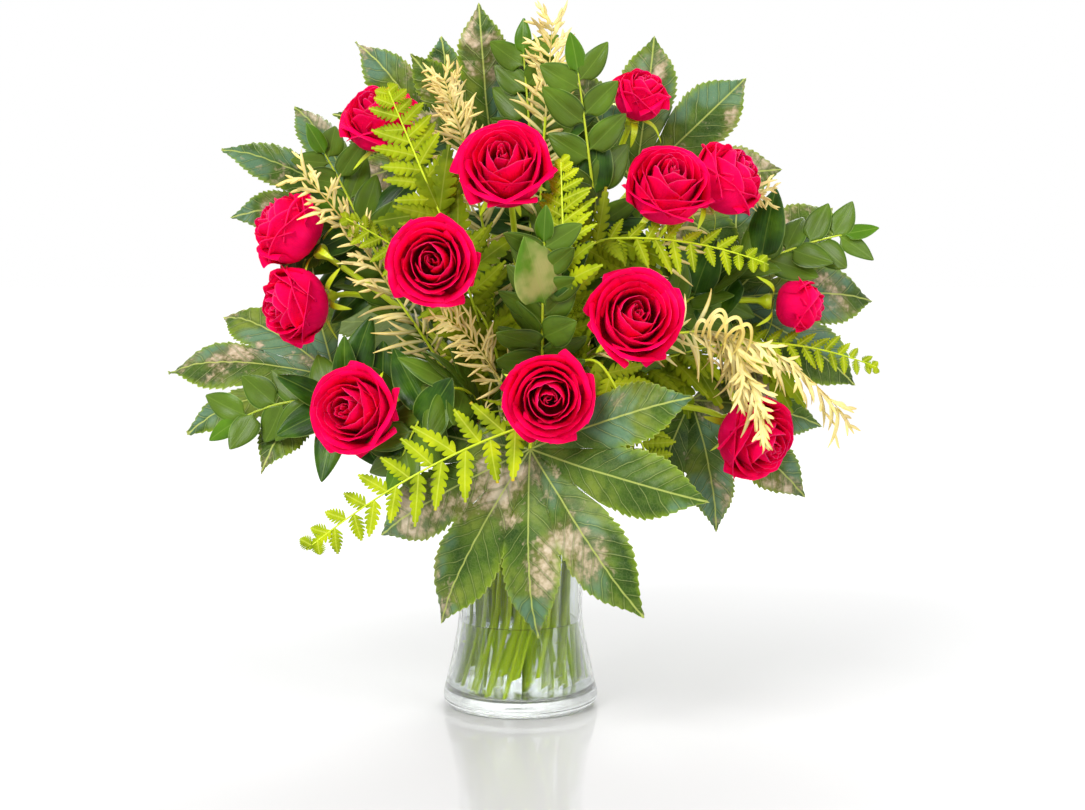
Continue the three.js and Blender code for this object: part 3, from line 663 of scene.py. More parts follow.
def green_stem(look):
    """Living rose stem: smooth waxy bark, yellow-green with long pale streaks, and a cream
    pith where the knife cut it. UV: turns round it and millimetres along it. Marks: x how
    young, y cut face, z how dark."""
    surface = {"Roughness": 0.42, "Specular IOR Level": 0.4, "Coat Weight": 0.1}
    material, tree, uv, place, (young, cut, dark) = new_material(STEM_BARK, surface)
    along = put(tree, "Mapping", {"Vector": uv, "Scale": (9, 0.02, 1)})
    streak = put(tree, "TexNoise", {"Vector": along, "Scale": 1.0, "Detail": 3.0})
    stops = ((0.3, "#7E9414"), (0.5, look.stem_green), (0.72, "#D2DC48"))
    colour = lay(
        tree,
        put(tree, "ValToRGB", {0: streak}, stops=stops),
        ("#8A9E2A", patches(tree, place, 18, 3), 0.4, 0.7, 0.4),
        ("#C8DC10", young, 0.3, 1.0, 0.85),
        # Painted light: under the water the bark is painted brighter, in place of the light that
        # the glass and water keep off it.
        ("#D8F400", put(tree, "SeparateXYZ", {0: place}, 2), 0.075, 0.05, 0.85),
        ("#4E6A08", dark, 0.45, 1.0, 0.7),
        ("#E6E2B0", cut, 0.4, 0.6, 1.0),
    )
    return finish_surface(material, colour, streak, 0.3)


def aralia_leather(look):
    """Aralia leaf: thick and leathery with a waxed face. Large patches of the blade carry
    mauve-brown bronzing and cream painted reflections of the light off its wax, the veins run
    pale down it, and its margin is yellow-green.
    UV: metres across and along the lobe from its rib. Marks: x margin, y leaf, z face."""
    surface = {"Roughness": 0.42, "Specular IOR Level": 0.15}
    name = "aralia_leaf_waxed_leather"
    material, tree, uv, place, (margin, leaf, face) = new_material(name, surface)
    spot = put(tree, "SeparateXYZ", {0: uv}).node.outputs
    across = put(tree, "Math", {0: spot[0]}, operation="ABSOLUTE")
    # Side veins leave the rib every 11 mm and run forward at about 50 degrees.
    wander = patches(tree, uv, 17)
    back = put(tree, "Math", {0: across, 1: -0.85, 2: spot[1]}, operation="MULTIPLY_ADD")
    back = put(tree, "Math", {0: wander, 1: 0.008, 2: back}, operation="MULTIPLY_ADD")
    phase = put(tree, "Math", {0: back, 1: 1 / 0.011}, operation="MULTIPLY")
    to_vein = put(tree, "Math", {0: phase, 1: 0.5}, operation="PINGPONG")
    cells = {"Vector": uv, "Scale": 420.0}
    cells = put(tree, "TexVoronoi", cells, "Distance", feature="DISTANCE_TO_EDGE")
    patch = patches(tree, place, 42, 4)
    fine = patches(tree, place, 10, 4)
    speck = patches(tree, place, 2.6, 4)
    # Where these patches add up high, the blade is painted cream: a painted reflection of light.
    pale = put(tree, "Math", {0: fine, 1: 0.5, 2: patch}, operation="MULTIPLY_ADD")
    pale = put(tree, "Math", {0: speck, 1: 0.3, 2: pale}, operation="MULTIPLY_ADD")
    stops = ((0.32, "#1E3606"), (0.5, look.aralia_green), (0.68, "#77862E"))
    green = lay(
        tree,
        put(tree, "ValToRGB", {0: patches(tree, place, 30, 3)}, stops=stops),
        ("#28440A", fine, 0.5, 0.68, 0.6),
        ("#648872", patches(tree, place, 55), 0.5, 0.6, 0.7),
        # Mauve-brown bronzing in the large patches, then cream painted reflections over it.
        ("#74663A", patch, 0.5, 0.62, 0.55),
        ("#C4AC90", pale, 0.94, 1.09, 0.85),
        ("#E2D0BA", pale, 1.04, 1.18, 0.7),
        ("#7A9414", margin, 0.7, 1.0, 0.7),
        ("#93A060", cells, 0.1, 0.02, 0.12),
        # Beside its veins a blade is darker, and the veins themselves are hair lines.
        ("#243C08", to_vein, 0.2, 0.06, 0.4),
        ("#A9B469", to_vein, 0.045, 0.012, 0.42),
        ("#2C4608", across, 0.0045, 0.001, 0.35),
        (look.vein_pale, across, 0.0008, 0.0003, 0.8),
        ("#B5C25A", margin, 0.95, 0.99, 0.5),
        ("#3C5A22", leaf, 0.2, 1.0, 0.35),
        ("#8C9C60", face, 0.9, 0.1, 0.7),
    )
    raised = lay(tree, fine, ("#FFFFFF", to_vein, 0.07, 0.015, 0.5))
    return finish_surface(material, green, raised, 0.6)


def frond_skin(look):
    """Leather fern: thin satin leaflets, bright yellow-green where light comes through, with
    ochre tips. UV: metres across and along a pinna. Marks: x margin, y how old, z face."""
    surface = {
        "Roughness": 0.55,
        "Specular IOR Level": 0.05,
        "Subsurface Weight": 0.08,
        "Subsurface Radius": (0.7, 1.0, 0.05),
        "Subsurface Scale": 0.0015,
    }
    name = "leather_fern_satin_leaflet"
    material, tree, uv, place, (margin, old, face) = new_material(name, surface)
    cloud = patches(tree, place, 16, 3)
    stops = ((0.3, "#566A04"), (0.5, look.fern_green), (0.72, "#B2BC10"))
    across = put(tree, "Math", {0: put(tree, "SeparateXYZ", {0: uv})}, operation="ABSOLUTE")
    tips = put(tree, "Math", {0: patches(tree, place, 26, 3), 1: margin}, operation="MULTIPLY")
    green = lay(
        tree,
        put(tree, "ValToRGB", {0: cloud}, stops=stops),
        ("#D3D860", across, 0.0006, 0.0002, 0.4),
        ("#D99A2C", tips, 0.5, 0.68, 0.8),
        ("#3E4E06", old, 0.1, 1.0, 0.85),
        ("#9CA81E", face, 0.9, 0.1, 0.35),
    )
    return finish_surface(material, green, cloud, 0.4)


def ruscus_gloss(look):
    """Ruscus leaf: dark, thick and polished by its own wax, with fine lengthwise veins.
    UV: metres across and along the leaf. Marks: x margin, y how young up to 1, or 2 on a leaf
    that carries painted sheen, z face."""
    surface = {"Roughness": 0.32, "Specular IOR Level": 0.15}
    name = "ruscus_leaf_polished_wax"
    material, tree, uv, place, (margin, young, face) = new_material(name, surface)
    cloud = patches(tree, place, 22, 3)
    veins = patches(tree, uv, 1.1, 2, (1, 0.06, 1))
    stops = ((0.3, "#142808"), (0.52, look.ruscus_green), (0.72, "#4C7014"))
    painted_sheen = put(tree, "Math", {0: cloud, 1: young}, operation="ADD")
    across = put(tree, "Math", {0: put(tree, "SeparateXYZ", {0: uv})}, operation="ABSOLUTE")
    green = lay(
        tree,
        put(tree, "ValToRGB", {0: cloud}, stops=stops),
        ("#48661C", veins, 0.45, 0.75, 0.25),
        ("#5A8614", young, 0.2, 1.0, 0.7),
        # Painted sheen: a leaf marked 2 gets grey-beige patches that stand in for light off its
        # wax.
        ("#A39B60", painted_sheen, 2.34, 2.64, 0.8),
        ("#86A044", across, 0.0006, 0.0001, 0.28),
        ("#A2B95E", margin, 0.92, 1.0, 0.4),
        ("#647C24", face, 0.9, 0.1, 0.5),
    )
    return finish_surface(material, green, veins, 0.25)


def grevillea_gold(look):
    """Dried-off grevillea: narrow cream and gold leaves, silky along the grain, green towards
    the twig. UV: metres across and along the leaf. Marks: y how green, z face."""
    surface = {"Roughness": 0.55, "Specular IOR Level": 0.25}
    name = "grevillea_leaf_dried_gold"
    material, tree, uv, place, (_, green_share, face) = new_material(name, surface)
    grain = patches(tree, uv, 1.4, 2, (1, 0.08, 1))
    stops = ((0.3, "#B08C30"), (0.5, look.grevillea_gold), (0.7, "#F2E092"))
    gold = lay(
        tree,
        put(tree, "ValToRGB", {0: patches(tree, place, 20, 3)}, stops=stops),
        ("#F0E8BC", grain, 0.4, 0.75, 0.35),
        ("#5E7416", green_share, 0.0, 1.0, 0.95),
        ("#E9E2BE", face, 0.9, 0.1, 0.3),
    )
    return finish_surface(material, gold, grain, 0.3)


def clear_water():
    """Clean tap water: it shows as a brighter line at its top and by bending the stems."""
    surface = {
        "Base Color": "#FDFFFE",
        "Transmission Weight": 1.0,
        "Roughness": 0.0,
        "IOR": 1.333,
        "Specular Tint": "#707070",
        "Alpha": 0.7,
    }
    return new_material("water_clear", surface)[0]


def pressed_glass():
    """Soda-lime glass, blown into a mould and fire-polished: clear, with slow ripples in the
    wall that bend what stands behind it."""
    surface = {
        "Base Color": "#EEF2F0",
        "Transmission Weight": 1.0,
        "Roughness": 0.0,
        "IOR": 1.5,
        "Specular Tint": "#707070",
        "Alpha": 0.88,
    }
    material, tree, _, place, _ = new_material("vase_soda_lime_glass", surface)
    ripple = patches(tree, place, 31, 1, (1, 1, 0.35))
    relief = put(tree, "Bump", {"Height": ripple, "Distance": 0.6 * MM, "Strength": 0.5})
    tree.links.new(relief, tree.nodes["Principled BSDF"].inputs["Normal"])
    return material


# ---- Rose ----------------------------------------------------------------------------------

# Petals from the outside in. Each row is a whorl: the ring of its first and last petal, from
# 1 outside to 0 in the heart, how many petals, the half width of each in degrees, how far the
# lip rolls back, how far its corners do, how far its middle is drawn to a point, and how
# deep it waves.
WHORLS = [
    (1.0, 0.965, 5, 60, 5.0, 1.8, 0.09, 0.8),
    (0.85, 0.81, 4, 62, 3.8, 0.7, 0.08, 0.8),
    (0.69, 0.64, 4, 60, 2.6, 0.6, 0.055, 0.9),
    (0.53, 0.5, 3, 64, 1.9, 0.6, 0.04, 0.8),
    (0.42, 0.36, 3, 70, 1.5, 1.0, 0.03, 0.9),
    (0.28, 0.22, 3, 80, 0.6, 0.4, 0.02, 1.0),
    (0.16, 0.1, 4, 76, -0.3, 0.2, 0.02, 1.0),
    (0.07, 0.02, 4, 88, -0.4, 0.0, 0.0, 0.7),
]
GOLDEN_TURN = math.radians(GOLDEN_ANGLE)
PETAL_COLUMNS = 17
PETAL_ROWS = 15
PETAL_THICKNESS = 0.6
PETAL_WIDTH = 44.0
PETAL_LENGTH = 45.0
# Radii of a rose stem at its foot and top, how much its nodes swell, and how long that is.
STEM_RADII = (2.7, 2.1)
NODE_SWELL = 0.55
NODE_LENGTH = 3.2
SEPALS = 5
SEPAL_WIDTH = 7.6
SEPAL_THICKNESS = 0.6


def petal_grid(rng, ring, openness, azimuth, half_width, roll, corner, point, wave):
    """The points of one petal, in the bloom's own frame, from its root to its lip. Its rows
    and columns stand closer towards its edges, where it curls."""
    across = np.sin(np.linspace(-np.pi / 2, np.pi / 2, PETAL_COLUMNS))
    up = 1 - (1 - np.linspace(0, 1, PETAL_ROWS)) ** 1.6
    across, up = np.meshgrid(across, up)
    drawn = point * np.exp(-((across / 0.34) ** 2)) - 0.2 * np.abs(across) ** 2.4
    s = up * (1 + drawn)
    q = 1 - s
    # The side of a petal is one smooth curve: from its root, out by the belly, in by the
    # shoulder and out again to the lip.
    reach = ring * openness
    inner = smooth(ring, 0.0, 0.32)
    root, belly, shoulder = mix(0.6, 3.5, inner), mix(1.5, 9, inner), mix(1.4, 9.5, inner)
    lip = 1.4 + 28.5 * reach - max(roll, 0) * 0.8
    lip_height = BLOOM_HEIGHT - 14 * ring**2 * openness - 2.5 * (1 - smooth(ring, 0.1, 0.3))
    belly += 22 * reach
    shoulder += 10.5 * reach + 5 * smooth(ring, 0.6, 1.0)
    radius = q**3 * root + 3 * q * q * s * belly + 3 * q * s * s * shoulder + s**3 * lip
    height = q**3 * 3 + 3 * q * q * s * (13 - 9 * ring)
    height += 3 * q * s * s * (33 - 6.5 * ring) + s**3 * (lip_height + 0.25 * roll)
    # The lip rolls back, and its corners more.
    over = smooth(up, 0.66, 1.0)
    radius += roll * over
    height -= roll * 0.85 * over**2
    corners = np.abs(across) ** 3 * smooth(up, 0.45, 1.0)
    radius += corner * corners * 0.75
    height -= corner * corners * 0.9
    # A petal bends less at its middle than the ring that it stands in, so it has a face.
    radius -= (0.5 + 1.4 * ring) * (1 - across**2) * smooth(up, 0.3, 0.9) * inner
    beat = rng.uniform(0, 2 * np.pi)
    ripple = np.sin(across * rng.uniform(2.4, 4.0) + beat) + 0.4 * np.sin(across * 7 + 2 * beat)
    radius += wave * ripple * up**3 * 0.6 * mix(0.5, 1, inner)
    # Each petal lies over the next one on one side and under the last one on the other.
    radius += mix(0.4, 1.1, inner) * across * smooth(up, 0.05, 0.7)
    height += wave * 0.8 * np.cos(across * 3.1 + beat) * up**3
    radius += 0.18 * np.sin(across * 15 + beat) * up**2
    width = 0.4 + 0.6 * np.sin(np.radians(90 * np.minimum(1, 1.3 * up)))
    width = width * (1 - 0.1 * smooth(up, 0.75, 1.0))
    skew = rng.uniform(-0.12, 0.12) * up**2
    angle = azimuth + np.radians(half_width) * (across + skew) * width
    return together(radius * np.cos(angle), radius * np.sin(angle), height), across, up


def build_bloom(index, material):
    """One bloom, all its petals in a piece: each petal stands a golden angle on from the last,
    as on the plant, a little further in."""
    _, _, _, size, openness = ROSES[index]
    rng = dice("bloom", index)
    base, way = bloom_foot(index)
    turn = turn_to(way)
    net = Net()
    azimuth = rng.uniform(0, 2 * np.pi)
    lean = rng.uniform(0, 2 * np.pi)
    for first, last, petals, half_width, roll, corner, point, wave in WHORLS:
        for ring in np.linspace(first, last, petals):
            azimuth += GOLDEN_TURN + rng.uniform(-0.14, 0.14)
            grid, across, up = petal_grid(
                rng,
                ring + rng.uniform(-0.008, 0.008),
                openness,
                azimuth,
                half_width * rng.uniform(0.94, 1.08),
                # The lips of a bud are still rolled tight.
                roll * rng.uniform(0.6, 1.2) * mix(3.4, 1, openness),
                corner * rng.uniform(0.5, 1.25),
                point * rng.uniform(0.2, 1.4),
                wave,
            )
            # The petals of the heart are folded round points beside the middle, and some
            # stand a little higher than others.
            heart = 1 - smooth(ring, 0.05, 0.36)
            shift = 2.3 * heart * rng.uniform(0.4, 1.0)
            grid[..., 0] += (shift * math.cos(azimuth * 1.7) + 0.8 * heart * math.cos(lean)) * up
            grid[..., 1] += (shift * math.sin(azimuth * 1.7) + 0.8 * heart * math.sin(lean)) * up
            grid[..., 2] += heart * rng.uniform(-1.6, 1.2) * up
            # A petal thins out towards its edges.
            thin = smooth(1 - np.abs(across), -0.02, 0.16) * smooth(1 - up, -0.02, 0.12)
            rim = np.maximum(up, np.abs(across) * smooth(up, 0.8, 0.97))
            uvs = together(across * PETAL_WIDTH / 2, up * PETAL_LENGTH) * MM
            grid = (grid * size) @ turn.T + base
            add_sheet(net, grid, PETAL_THICKNESS * thin, uvs, together(rim, ring, 0.0))
    net.make(f"bloom_{index + 1}", [material], f"rose_bloom_{index + 1}")


def build_rose_stem(index, material):
    """One rose stem with its nodes and thorns, its hip, and the five sepals under the bloom."""
    rng = dice("rose", index)
    base, way = bloom_foot(index)
    line = stem_line("rose", index, base - way * HIP_LENGTH, way, ROSE_STEM_STEPS)
    length = lengths_along(line)
    share = length / length[-1]
    radii = mix(*STEM_RADII, smooth(share, 0.3, 1.0))
    joints = np.arange(rng.uniform(14, 30), length[-1] - 40, rng.uniform(36, 48))
    for joint in joints:
        radii = radii + NODE_SWELL * np.exp(-(((length - joint) / NODE_LENGTH) ** 2))
    young = np.append(smooth(share, 0.55, 1.0) * 0.8, np.ones(len(HIP)))
    dark = (1 - smooth(share, 0.3, 0.6)) * (index * GOLDEN_TURN % 1)
    dark = np.append(dark, np.zeros(len(HIP)))
    line = np.concatenate([line, [base - way * HIP_LENGTH * back for back, _ in HIP]])
    radii = np.append(radii, [radius for _, radius in HIP])
    net = Net()
    add_bar(net, line, radii, 12, together(young, 0.0, dark), cut=0.7)
    tangents, side, other = frames_along(line)
    for joint in joints:
        # A small thorn, or the stub of a trimmed leaf.
        i = int(np.searchsorted(length, joint))
        angle = rng.uniform(0, 2 * np.pi)
        out = side[i] * math.cos(angle) + other[i] * math.sin(angle)
        foot = line[i] + out * 2.2
        reach = rng.uniform(2.2, 3.6)
        path = [foot, foot + out * reach * 0.6, foot + out * reach - tangents[i] * 1.2]
        add_bar(net, np.array(path), [1.3, 0.7, 0.15], 6, (0.3, 0, 0))
    add_sepals(net, rng, base, way)
    name = f"rose_stalk_{index + 1}"
    net.make(name, [material], f"rose_stem_{index + 1}", 50)


def add_sepals(net, rng, base, way):
    """Five slender sepals that leave the hip and bend back, their tips drawn out thin."""
    turn = turn_to(way)
    rows = 9
    along, across = np.meshgrid(np.linspace(0, 1, rows), np.linspace(-1, 1, 5), indexing="ij")
    for k in range(SEPALS):
        azimuth = 2 * np.pi * k / SEPALS + rng.uniform(-0.2, 0.2)
        length = rng.uniform(21, 29)
        droop = rng.uniform(15, 70)
        out = vec(math.cos(azimuth), math.sin(azimuth), 0)
        beside = vec(-math.sin(azimuth), math.cos(azimuth), 0)
        fall = np.radians(mix(10, -droop, smooth(along, 0.0, 0.8)))
        radial = 4.6 + np.cumsum(np.cos(fall) * length / rows, axis=0)
        height = -0.8 + np.cumsum(np.sin(fall) * length / rows, axis=0)
        height = height + 0.8 * np.abs(across) * (1 - along)
        width = SEPAL_WIDTH / 2 * (1 - along) ** 0.75 * (0.75 + 0.5 * along) + 0.12
        grid = set_out(0.0, (out, radial), (beside, width * across), (vec(0, 0, 1), height))
        uvs = together(across * width, along * length)
        add_sheet(net, grid @ turn.T + base, SEPAL_THICKNESS, uvs, (1, 0, 0))


# ---- Aralia leaf ---------------------------------------------------------------------------

# Half width of a lobe against its full width, at shares of its length.
LOBE_ENVELOPE = (
    [0.0, 0.14, 0.3, 0.45, 0.58, 0.7, 0.8, 0.88, 0.94, 1.0],
    [0.0, 0.1, 0.24, 0.42, 0.5, 0.47, 0.35, 0.2, 0.09, 0.0],
)
WIDEST_LOBE = 49.0
LOBE_SHARE = 0.61
CLEFT_SHARE = 0.3
LOBE_TEETH = 12
TOOTH_DEPTH = 2.0
TEETH_START = 0.3
VEIN_GAP = 11.0
ARALIA_THICKNESS = 0.9


def lobe_outline(length, full_width, cleft, cleft_width):
    """Stations along a lobe and its half width at each: from the hub out to the cleft, then
    past forward-pointing teeth to a drawn-out tip."""
    stations = list(np.linspace(0.0, cleft, 7))
    widths = [cleft_width * s / cleft for s in stations]
    inside = [(f, 0.0) for f in np.linspace(0.0, TEETH_START, 5)[1:]]
    teeth = np.linspace(TEETH_START, 0.985, LOBE_TEETH + 1)
    for start, end in zip(teeth[:-1], teeth[1:]):
        for part, depth in ((0.3, 0.35), (0.62, 0.85), (0.86, 1.0), (1.0, 0.0)):
            inside.append((mix(start, end, part), depth))
    for fraction, tooth in inside:
        at = mix(cleft, length, fraction)
        base = np.interp(at / length, *LOBE_ENVELOPE) * full_width
        base = max(base, cleft_width * (1 - smooth(fraction, 0.0, 0.35)))
        depth = TOOTH_DEPTH * (1 - fraction) ** 0.4 if fraction > TEETH_START else 0.0
        stations.append(at)
        widths.append(max(base - depth * (1 - tooth), 0.15))
    return np.array(stations + [length]), np.array(widths + [0.05])


def build_aralia(index, materials):
    """One palmate leaf: its lobes share the seams between them out to each cleft."""
    hub, tip, roll, sides, step, side_share, arch = ARALIAS[index]
    hub, tip = vec(hub), vec(tip)
    rng = dice("aralia", index)
    reach = np.linalg.norm(tip - hub)
    heading = unit(tip - hub)
    face, side = face_frame(heading, roll)
    net = Net()
    half_step = math.radians(step / 2)
    cleft = CLEFT_SHARE * reach * math.cos(half_step)
    cleft_width = CLEFT_SHARE * reach * math.sin(half_step)
    leaf_tone = rng.uniform(0, 1)
    for k in range(-sides, sides + 1):
        outer = abs(k) / sides
        length = reach * (1 if k == 0 else side_share * mix(1, 0.86, outer * outer))
        full_width = min(WIDEST_LOBE, LOBE_SHARE * 2 * length * math.sin(half_step))
        stations, widths = lobe_outline(length, full_width, cleft, cleft_width)
        sway = rng.uniform(-0.06, 0.06) * length
        wave = rng.uniform(0, 6)
        along, column = np.meshgrid(stations, np.linspace(-1, 1, 13), indexing="ij")
        width = widths[:, None]
        across = width * column
        free = smooth(along, cleft, cleft * 1.8)
        # Teeth and side veins point forward, so a row of points sweeps forward from the rib.
        forward = np.abs(column) ** 1.5 * width * 0.22 * free
        angle = math.radians(k * step)
        bowed = across + sway * (along / length) ** 2 * free
        flat_x = (along + forward) * math.sin(angle) + bowed * math.cos(angle)
        flat_y = (along + forward) * math.cos(angle) - bowed * math.sin(angle)
        away = np.minimum(along / reach, 1.1)
        lift = arch * 4 * away * (1 - away) - 0.16 * np.abs(across)
        lift += 1.1 * np.abs(np.sin((along - 0.85 * np.abs(across)) / VEIN_GAP * np.pi)) * free
        lift += 2.2 * np.sin(along / 15 + wave + 1.5 * np.sign(column)) * np.abs(column) ** 2 * free
        lift -= 5 * smooth(along / length, 0.7, 1.0) ** 2
        grid = set_out(hub, (heading, flat_y), (side, flat_x), (face, lift))
        margin = np.maximum(np.abs(column) * free, smooth(along / length, 0.93, 1.0))
        uvs = together(across, along) * MM
        add_sheet(net, grid, ARALIA_THICKNESS, uvs, together(margin, leaf_tone, 0.0))
    line = stem_line("aralia", index, hub, unit(heading + face * 0.25), 20)
    add_stalk(net, line, 2.0, 1.5, 10)
    net.make(f"aralia_{index + 1}", materials, f"aralia_leaf_{index + 1}")


def add_stalk(net, line, radius, end_radius, sides):
    """The green stalk of a leaf, frond, shoot or spray, cut at its foot."""
    share = np.linspace(0, 1, len(line))
    dark = (1 - smooth(share, 0.3, 0.6)) * (line[0][0] * 0.37 % 1)
    marks = together(share * 0.5 + 0.2, 0.0, dark)
    add_bar(net, line, mix(radius, end_radius, share), sides, marks, cut=0.6, surface=1)


# ---- Fern frond ----------------------------------------------------------------------------

FERN_PAIRS = 10
FERN_FORWARD = math.radians(28)
FERN_AGES = (0.08, 0.4, 0.15, 0.6, 0.4, 0.3, 0.5, 0.5)
PINNA_LENGTH = 34.0
PINNA_WIDTH = 14.0
PINNA_THICKNESS = 0.45
PINNULES = 7

# The broad pinnae low on the stalks, which fill the gaps between the stems: the row of the
# frond that each grows from, its foot and its tip.
LOW_PINNAE = [
    (5, (112, -3, 254), (124, -6, 208)),
    (5, (120, -3, 256), (144, -6, 214)),
    (5, (168, -6, 262), (207, -10, 218)),
    (5, (168, -6, 262), (196, -10, 212)),
    (1, (-42, -74, 324), (-39, -76, 368)),
    (1, (-53, -78, 353), (-98, -80, 347)),
    (1, (-53, -78, 353), (-47, -80, 398)),
    (1, (-51, -78, 348), (-68, -80, 390)),
    (1, (-37, -69, 310), (-2, -72, 342)),
    (4, (63, -80, 335), (104, -82, 304)),
    (4, (63, -80, 335), (109, -82, 318)),
    (5, (80, -1, 236), (118, -6, 226)),
    (5, (90, -2, 244), (122, -8, 234)),
    (5, (100, -2, 250), (107, -6, 210)),
]


def pinna_outline(length, width):
    """Stations along a pinna's rib, and its half width at each: rounded pinnules, cut nearly
    to the rib at its foot and less and less towards its tip."""
    stations = [0.0]
    widths = [0.25]
    cuts = 1 - (1 - np.linspace(0, 1, PINNULES + 1)) ** 1.15
    for start, end in zip(cuts[:-1], cuts[1:]):
        middle = (start + end) / 2
        envelope = width / 2 * (1 - middle) ** 0.6 * (0.85 + 0.3 * math.sin(math.pi * middle))
        cut = envelope * mix(0.3, 0.8, smooth(middle, 0.0, 0.85))
        for part, share in ((0.16, 0.55), (0.4, 0.96), (0.66, 1.0), (0.86, 0.72), (1.0, 0.0)):
            stations.append(mix(start, end, part))
            widths.append(mix(cut, envelope, share))
    widths[-1] = 0.1
    return np.array(stations) * length, np.array(widths)


def add_pinna(net, rng, stand, length, width, droop, old):
    """One toothed pinna of a frond."""
    place, way, beside, face = stand
    stations, widths = pinna_outline(length, width)
    along, column = np.meshgrid(stations, np.linspace(-1, 1, 5), indexing="ij")
    across = widths[:, None] * column
    wide = np.abs(across)
    fraction = along / length
    forward = wide * 0.62 * (1 - 0.4 * fraction)
    sway = rng.uniform(-0.07, 0.07) * length * fraction**2
    fall = droop * length * fraction**2 + rng.uniform(-0.03, 0.1) * length * fraction**3
    cup = 0.16 * wide + 0.25 * np.sin(fraction * PINNULES * 2 * np.pi) * np.abs(column)
    grid = set_out(place, (way, along + forward), (beside, across + sway), (face, -fall - cup))
    margin = np.maximum(np.abs(column) * 0.8, smooth(fraction, 0.7, 1.0))
    uvs = together(across, along) * MM
    add_sheet(net, grid, PINNA_THICKNESS, uvs, together(margin, old, 0.0))


def build_fern(index, materials):
    """One frond: an arched rib with pairs of pinnae, a drawn-out tip, and more pinnae on its
    stalk."""
    *ends, size = FERNS[index]
    rib = Rib(*ends)
    rng = dice("fern", index)
    net = Net()
    old = FERN_AGES[index]
    sideways, onward = math.cos(FERN_FORWARD), math.sin(FERN_FORWARD)
    for k in range(FERN_PAIRS):
        for hand in (-1, 1):
            s = 1 - (1 - (k + 0.3 + 0.2 * hand) / FERN_PAIRS) ** 1.2
            place, heading, side, face = rib.spot(s)
            bend = rng.uniform(-0.16, 0.16)
            way = unit(
                side * hand * (sideways - bend)
                + heading * (onward + bend)
                + face * rng.uniform(-0.3, 0.15)
            )
            length = PINNA_LENGTH * math.sin(math.radians(mix(62, 168, s))) * size
            length *= rng.uniform(0.84, 1.12)
            width = PINNA_WIDTH * mix(1, 0.8, s) * size
            tone = min(max(old + rng.uniform(-0.15, 0.15), 0), 1)
            add_pinna(net, rng, aimed(place, way, face), length, width, 0.12, tone)
    place, heading, side, face = rib.spot(1 - 1.2 / FERN_PAIRS)
    stand = (place, unit(rib.tip - place), side, face)
    length = np.linalg.norm(rib.tip - place)
    add_pinna(net, rng, stand, length, PINNA_WIDTH * 0.7 * size, 0, old)
    rib.add_twig(net, 0.97, 1.0, 0.5, 6, [(0.8, 0, 0)] * 20, 1)
    stalk = stem_line("fern", index, *rib.at(RIB_FOOT), STALK_STEPS)

    def aim(beside, heading, face):
        return beside * sideways + heading * onward + face * rng.uniform(-0.4, 0.4)

    leaves = stalk_leaves(rng, stalk, rib.roll, (0.22, 0.98), 9, aim, PINNA_LENGTH, (0.9, 1.15))
    for stand, length in leaves:
        tone = min(old + rng.uniform(0.2, 0.6), 1)
        add_pinna(net, rng, stand, length, PINNA_WIDTH, 0.2, tone)
    for stand, length in set_leaves(LOW_PINNAE, index):
        add_pinna(net, rng, stand, length, PINNA_WIDTH * 1.5, 0.1, 0.7)
    add_stalk(net, stalk, 1.3, 0.9, 8)
    net.make(f"fern_{index + 1}", materials, f"fern_frond_{index + 1}")


# ---- Ruscus shoot --------------------------------------------------------------------------

RUSCUS_PAIRS = 4
RUSCUS_FORWARD = math.radians(42)
OVAL_LENGTH = 35.0
OVAL_WIDTH = 19.0
OVAL_THICKNESS = 0.8

# The broadest leaves, which fill the middle of the bouquet: the row of the shoot that each
# grows from, its foot, tip and width, and its mark for how young it is, or 2 for painted sheen.
BROAD_LEAVES = [
    # This leaf's mark of 2 gives it patches of painted sheen.
    (3, (18, -118, 291), (5, -146, 334), 36, 2),
    (3, (17, -114, 296), (46, -132, 331), 20, 0.1),
    (1, (-119, -50, 222), (-121, -64, 268), 20, 0.1),
    (1, (-126, -50, 219), (-167, -66, 206), 25, 0.3),
    (1, (-124, -50, 218), (-139, -70, 172), 24, 0.0),
    (1, (-128, -50, 221), (-163, -64, 245), 21, 0.0),
    (1, (-121, -50, 219), (-100, -52, 176), 26, 0.1),
    (2, (-65, -94, 207), (-46, -108, 243), 30, 0.1),
    (2, (-73, -94, 196), (-108, -60, 200), 26, 0.0),
    (2, (-60, -95, 218), (-88, -70, 262), 26, 0.0),
    (4, (-112, -8, 344), (-150, -34, 322), 24, 0.0),
    (4, (-116, -9, 352), (-158, -30, 372), 24, 0.0),
    (4, (-103, -4, 327), (-152, -8, 298), 27, 0.0),
    (4, (-94, -2, 313), (-138, -6, 280), 26, 0.0),
    (4, (-111, -6, 342), (-68, -10, 384), 26, 0.0),
    (4, (-109, -6, 339), (-65, -6, 361), 24, 0.0),
    (1, (-121, -50, 220), (-108, -50, 284), 27, 0.0),
    (1, (-96, -46, 217), (-93, -46, 265), 28, 0.0),
    (5, (124, -2, 294), (136, -8, 336), 28, 0.0),
    (5, (121, -2, 293), (153, -6, 322), 26, 0.0),
    (5, (172, 0, 319), (179, -4, 372), 28, 0.0),
    (5, (157, 0, 312), (131, -4, 277), 26, 0.0),
    (5, (132, -1, 298), (107, -4, 342), 26, 0.0),
    (0, (52, -41, 363), (34, -41, 407), 25, 0.0),
    (0, (52, -37, 350), (102, -34, 350), 25, 0.0),
    (6, (5, 17, 311), (-49, 14, 318), 26, 0.0),
    (6, (8, 12, 348), (-43, 10, 352), 28, 0.0),
    (6, (8, 8, 402), (54, 6, 422), 24, 0.0),
    (4, (-107, -5, 334), (-158, -8, 309), 24, 0.0),
    (4, (-64, 5, 274), (-92, 3, 234), 24, 0.0),
    (0, (52, -41, 363), (53, -44, 412), 26, 0.0),
    (0, (52, -36, 345), (97, -34, 324), 27, 0.0),
    (5, (124, -2, 294), (157, -4, 262), 25, 0.0),
    (1, (-82, -40, 216), (-86, -42, 168), 26, 0.0),
]


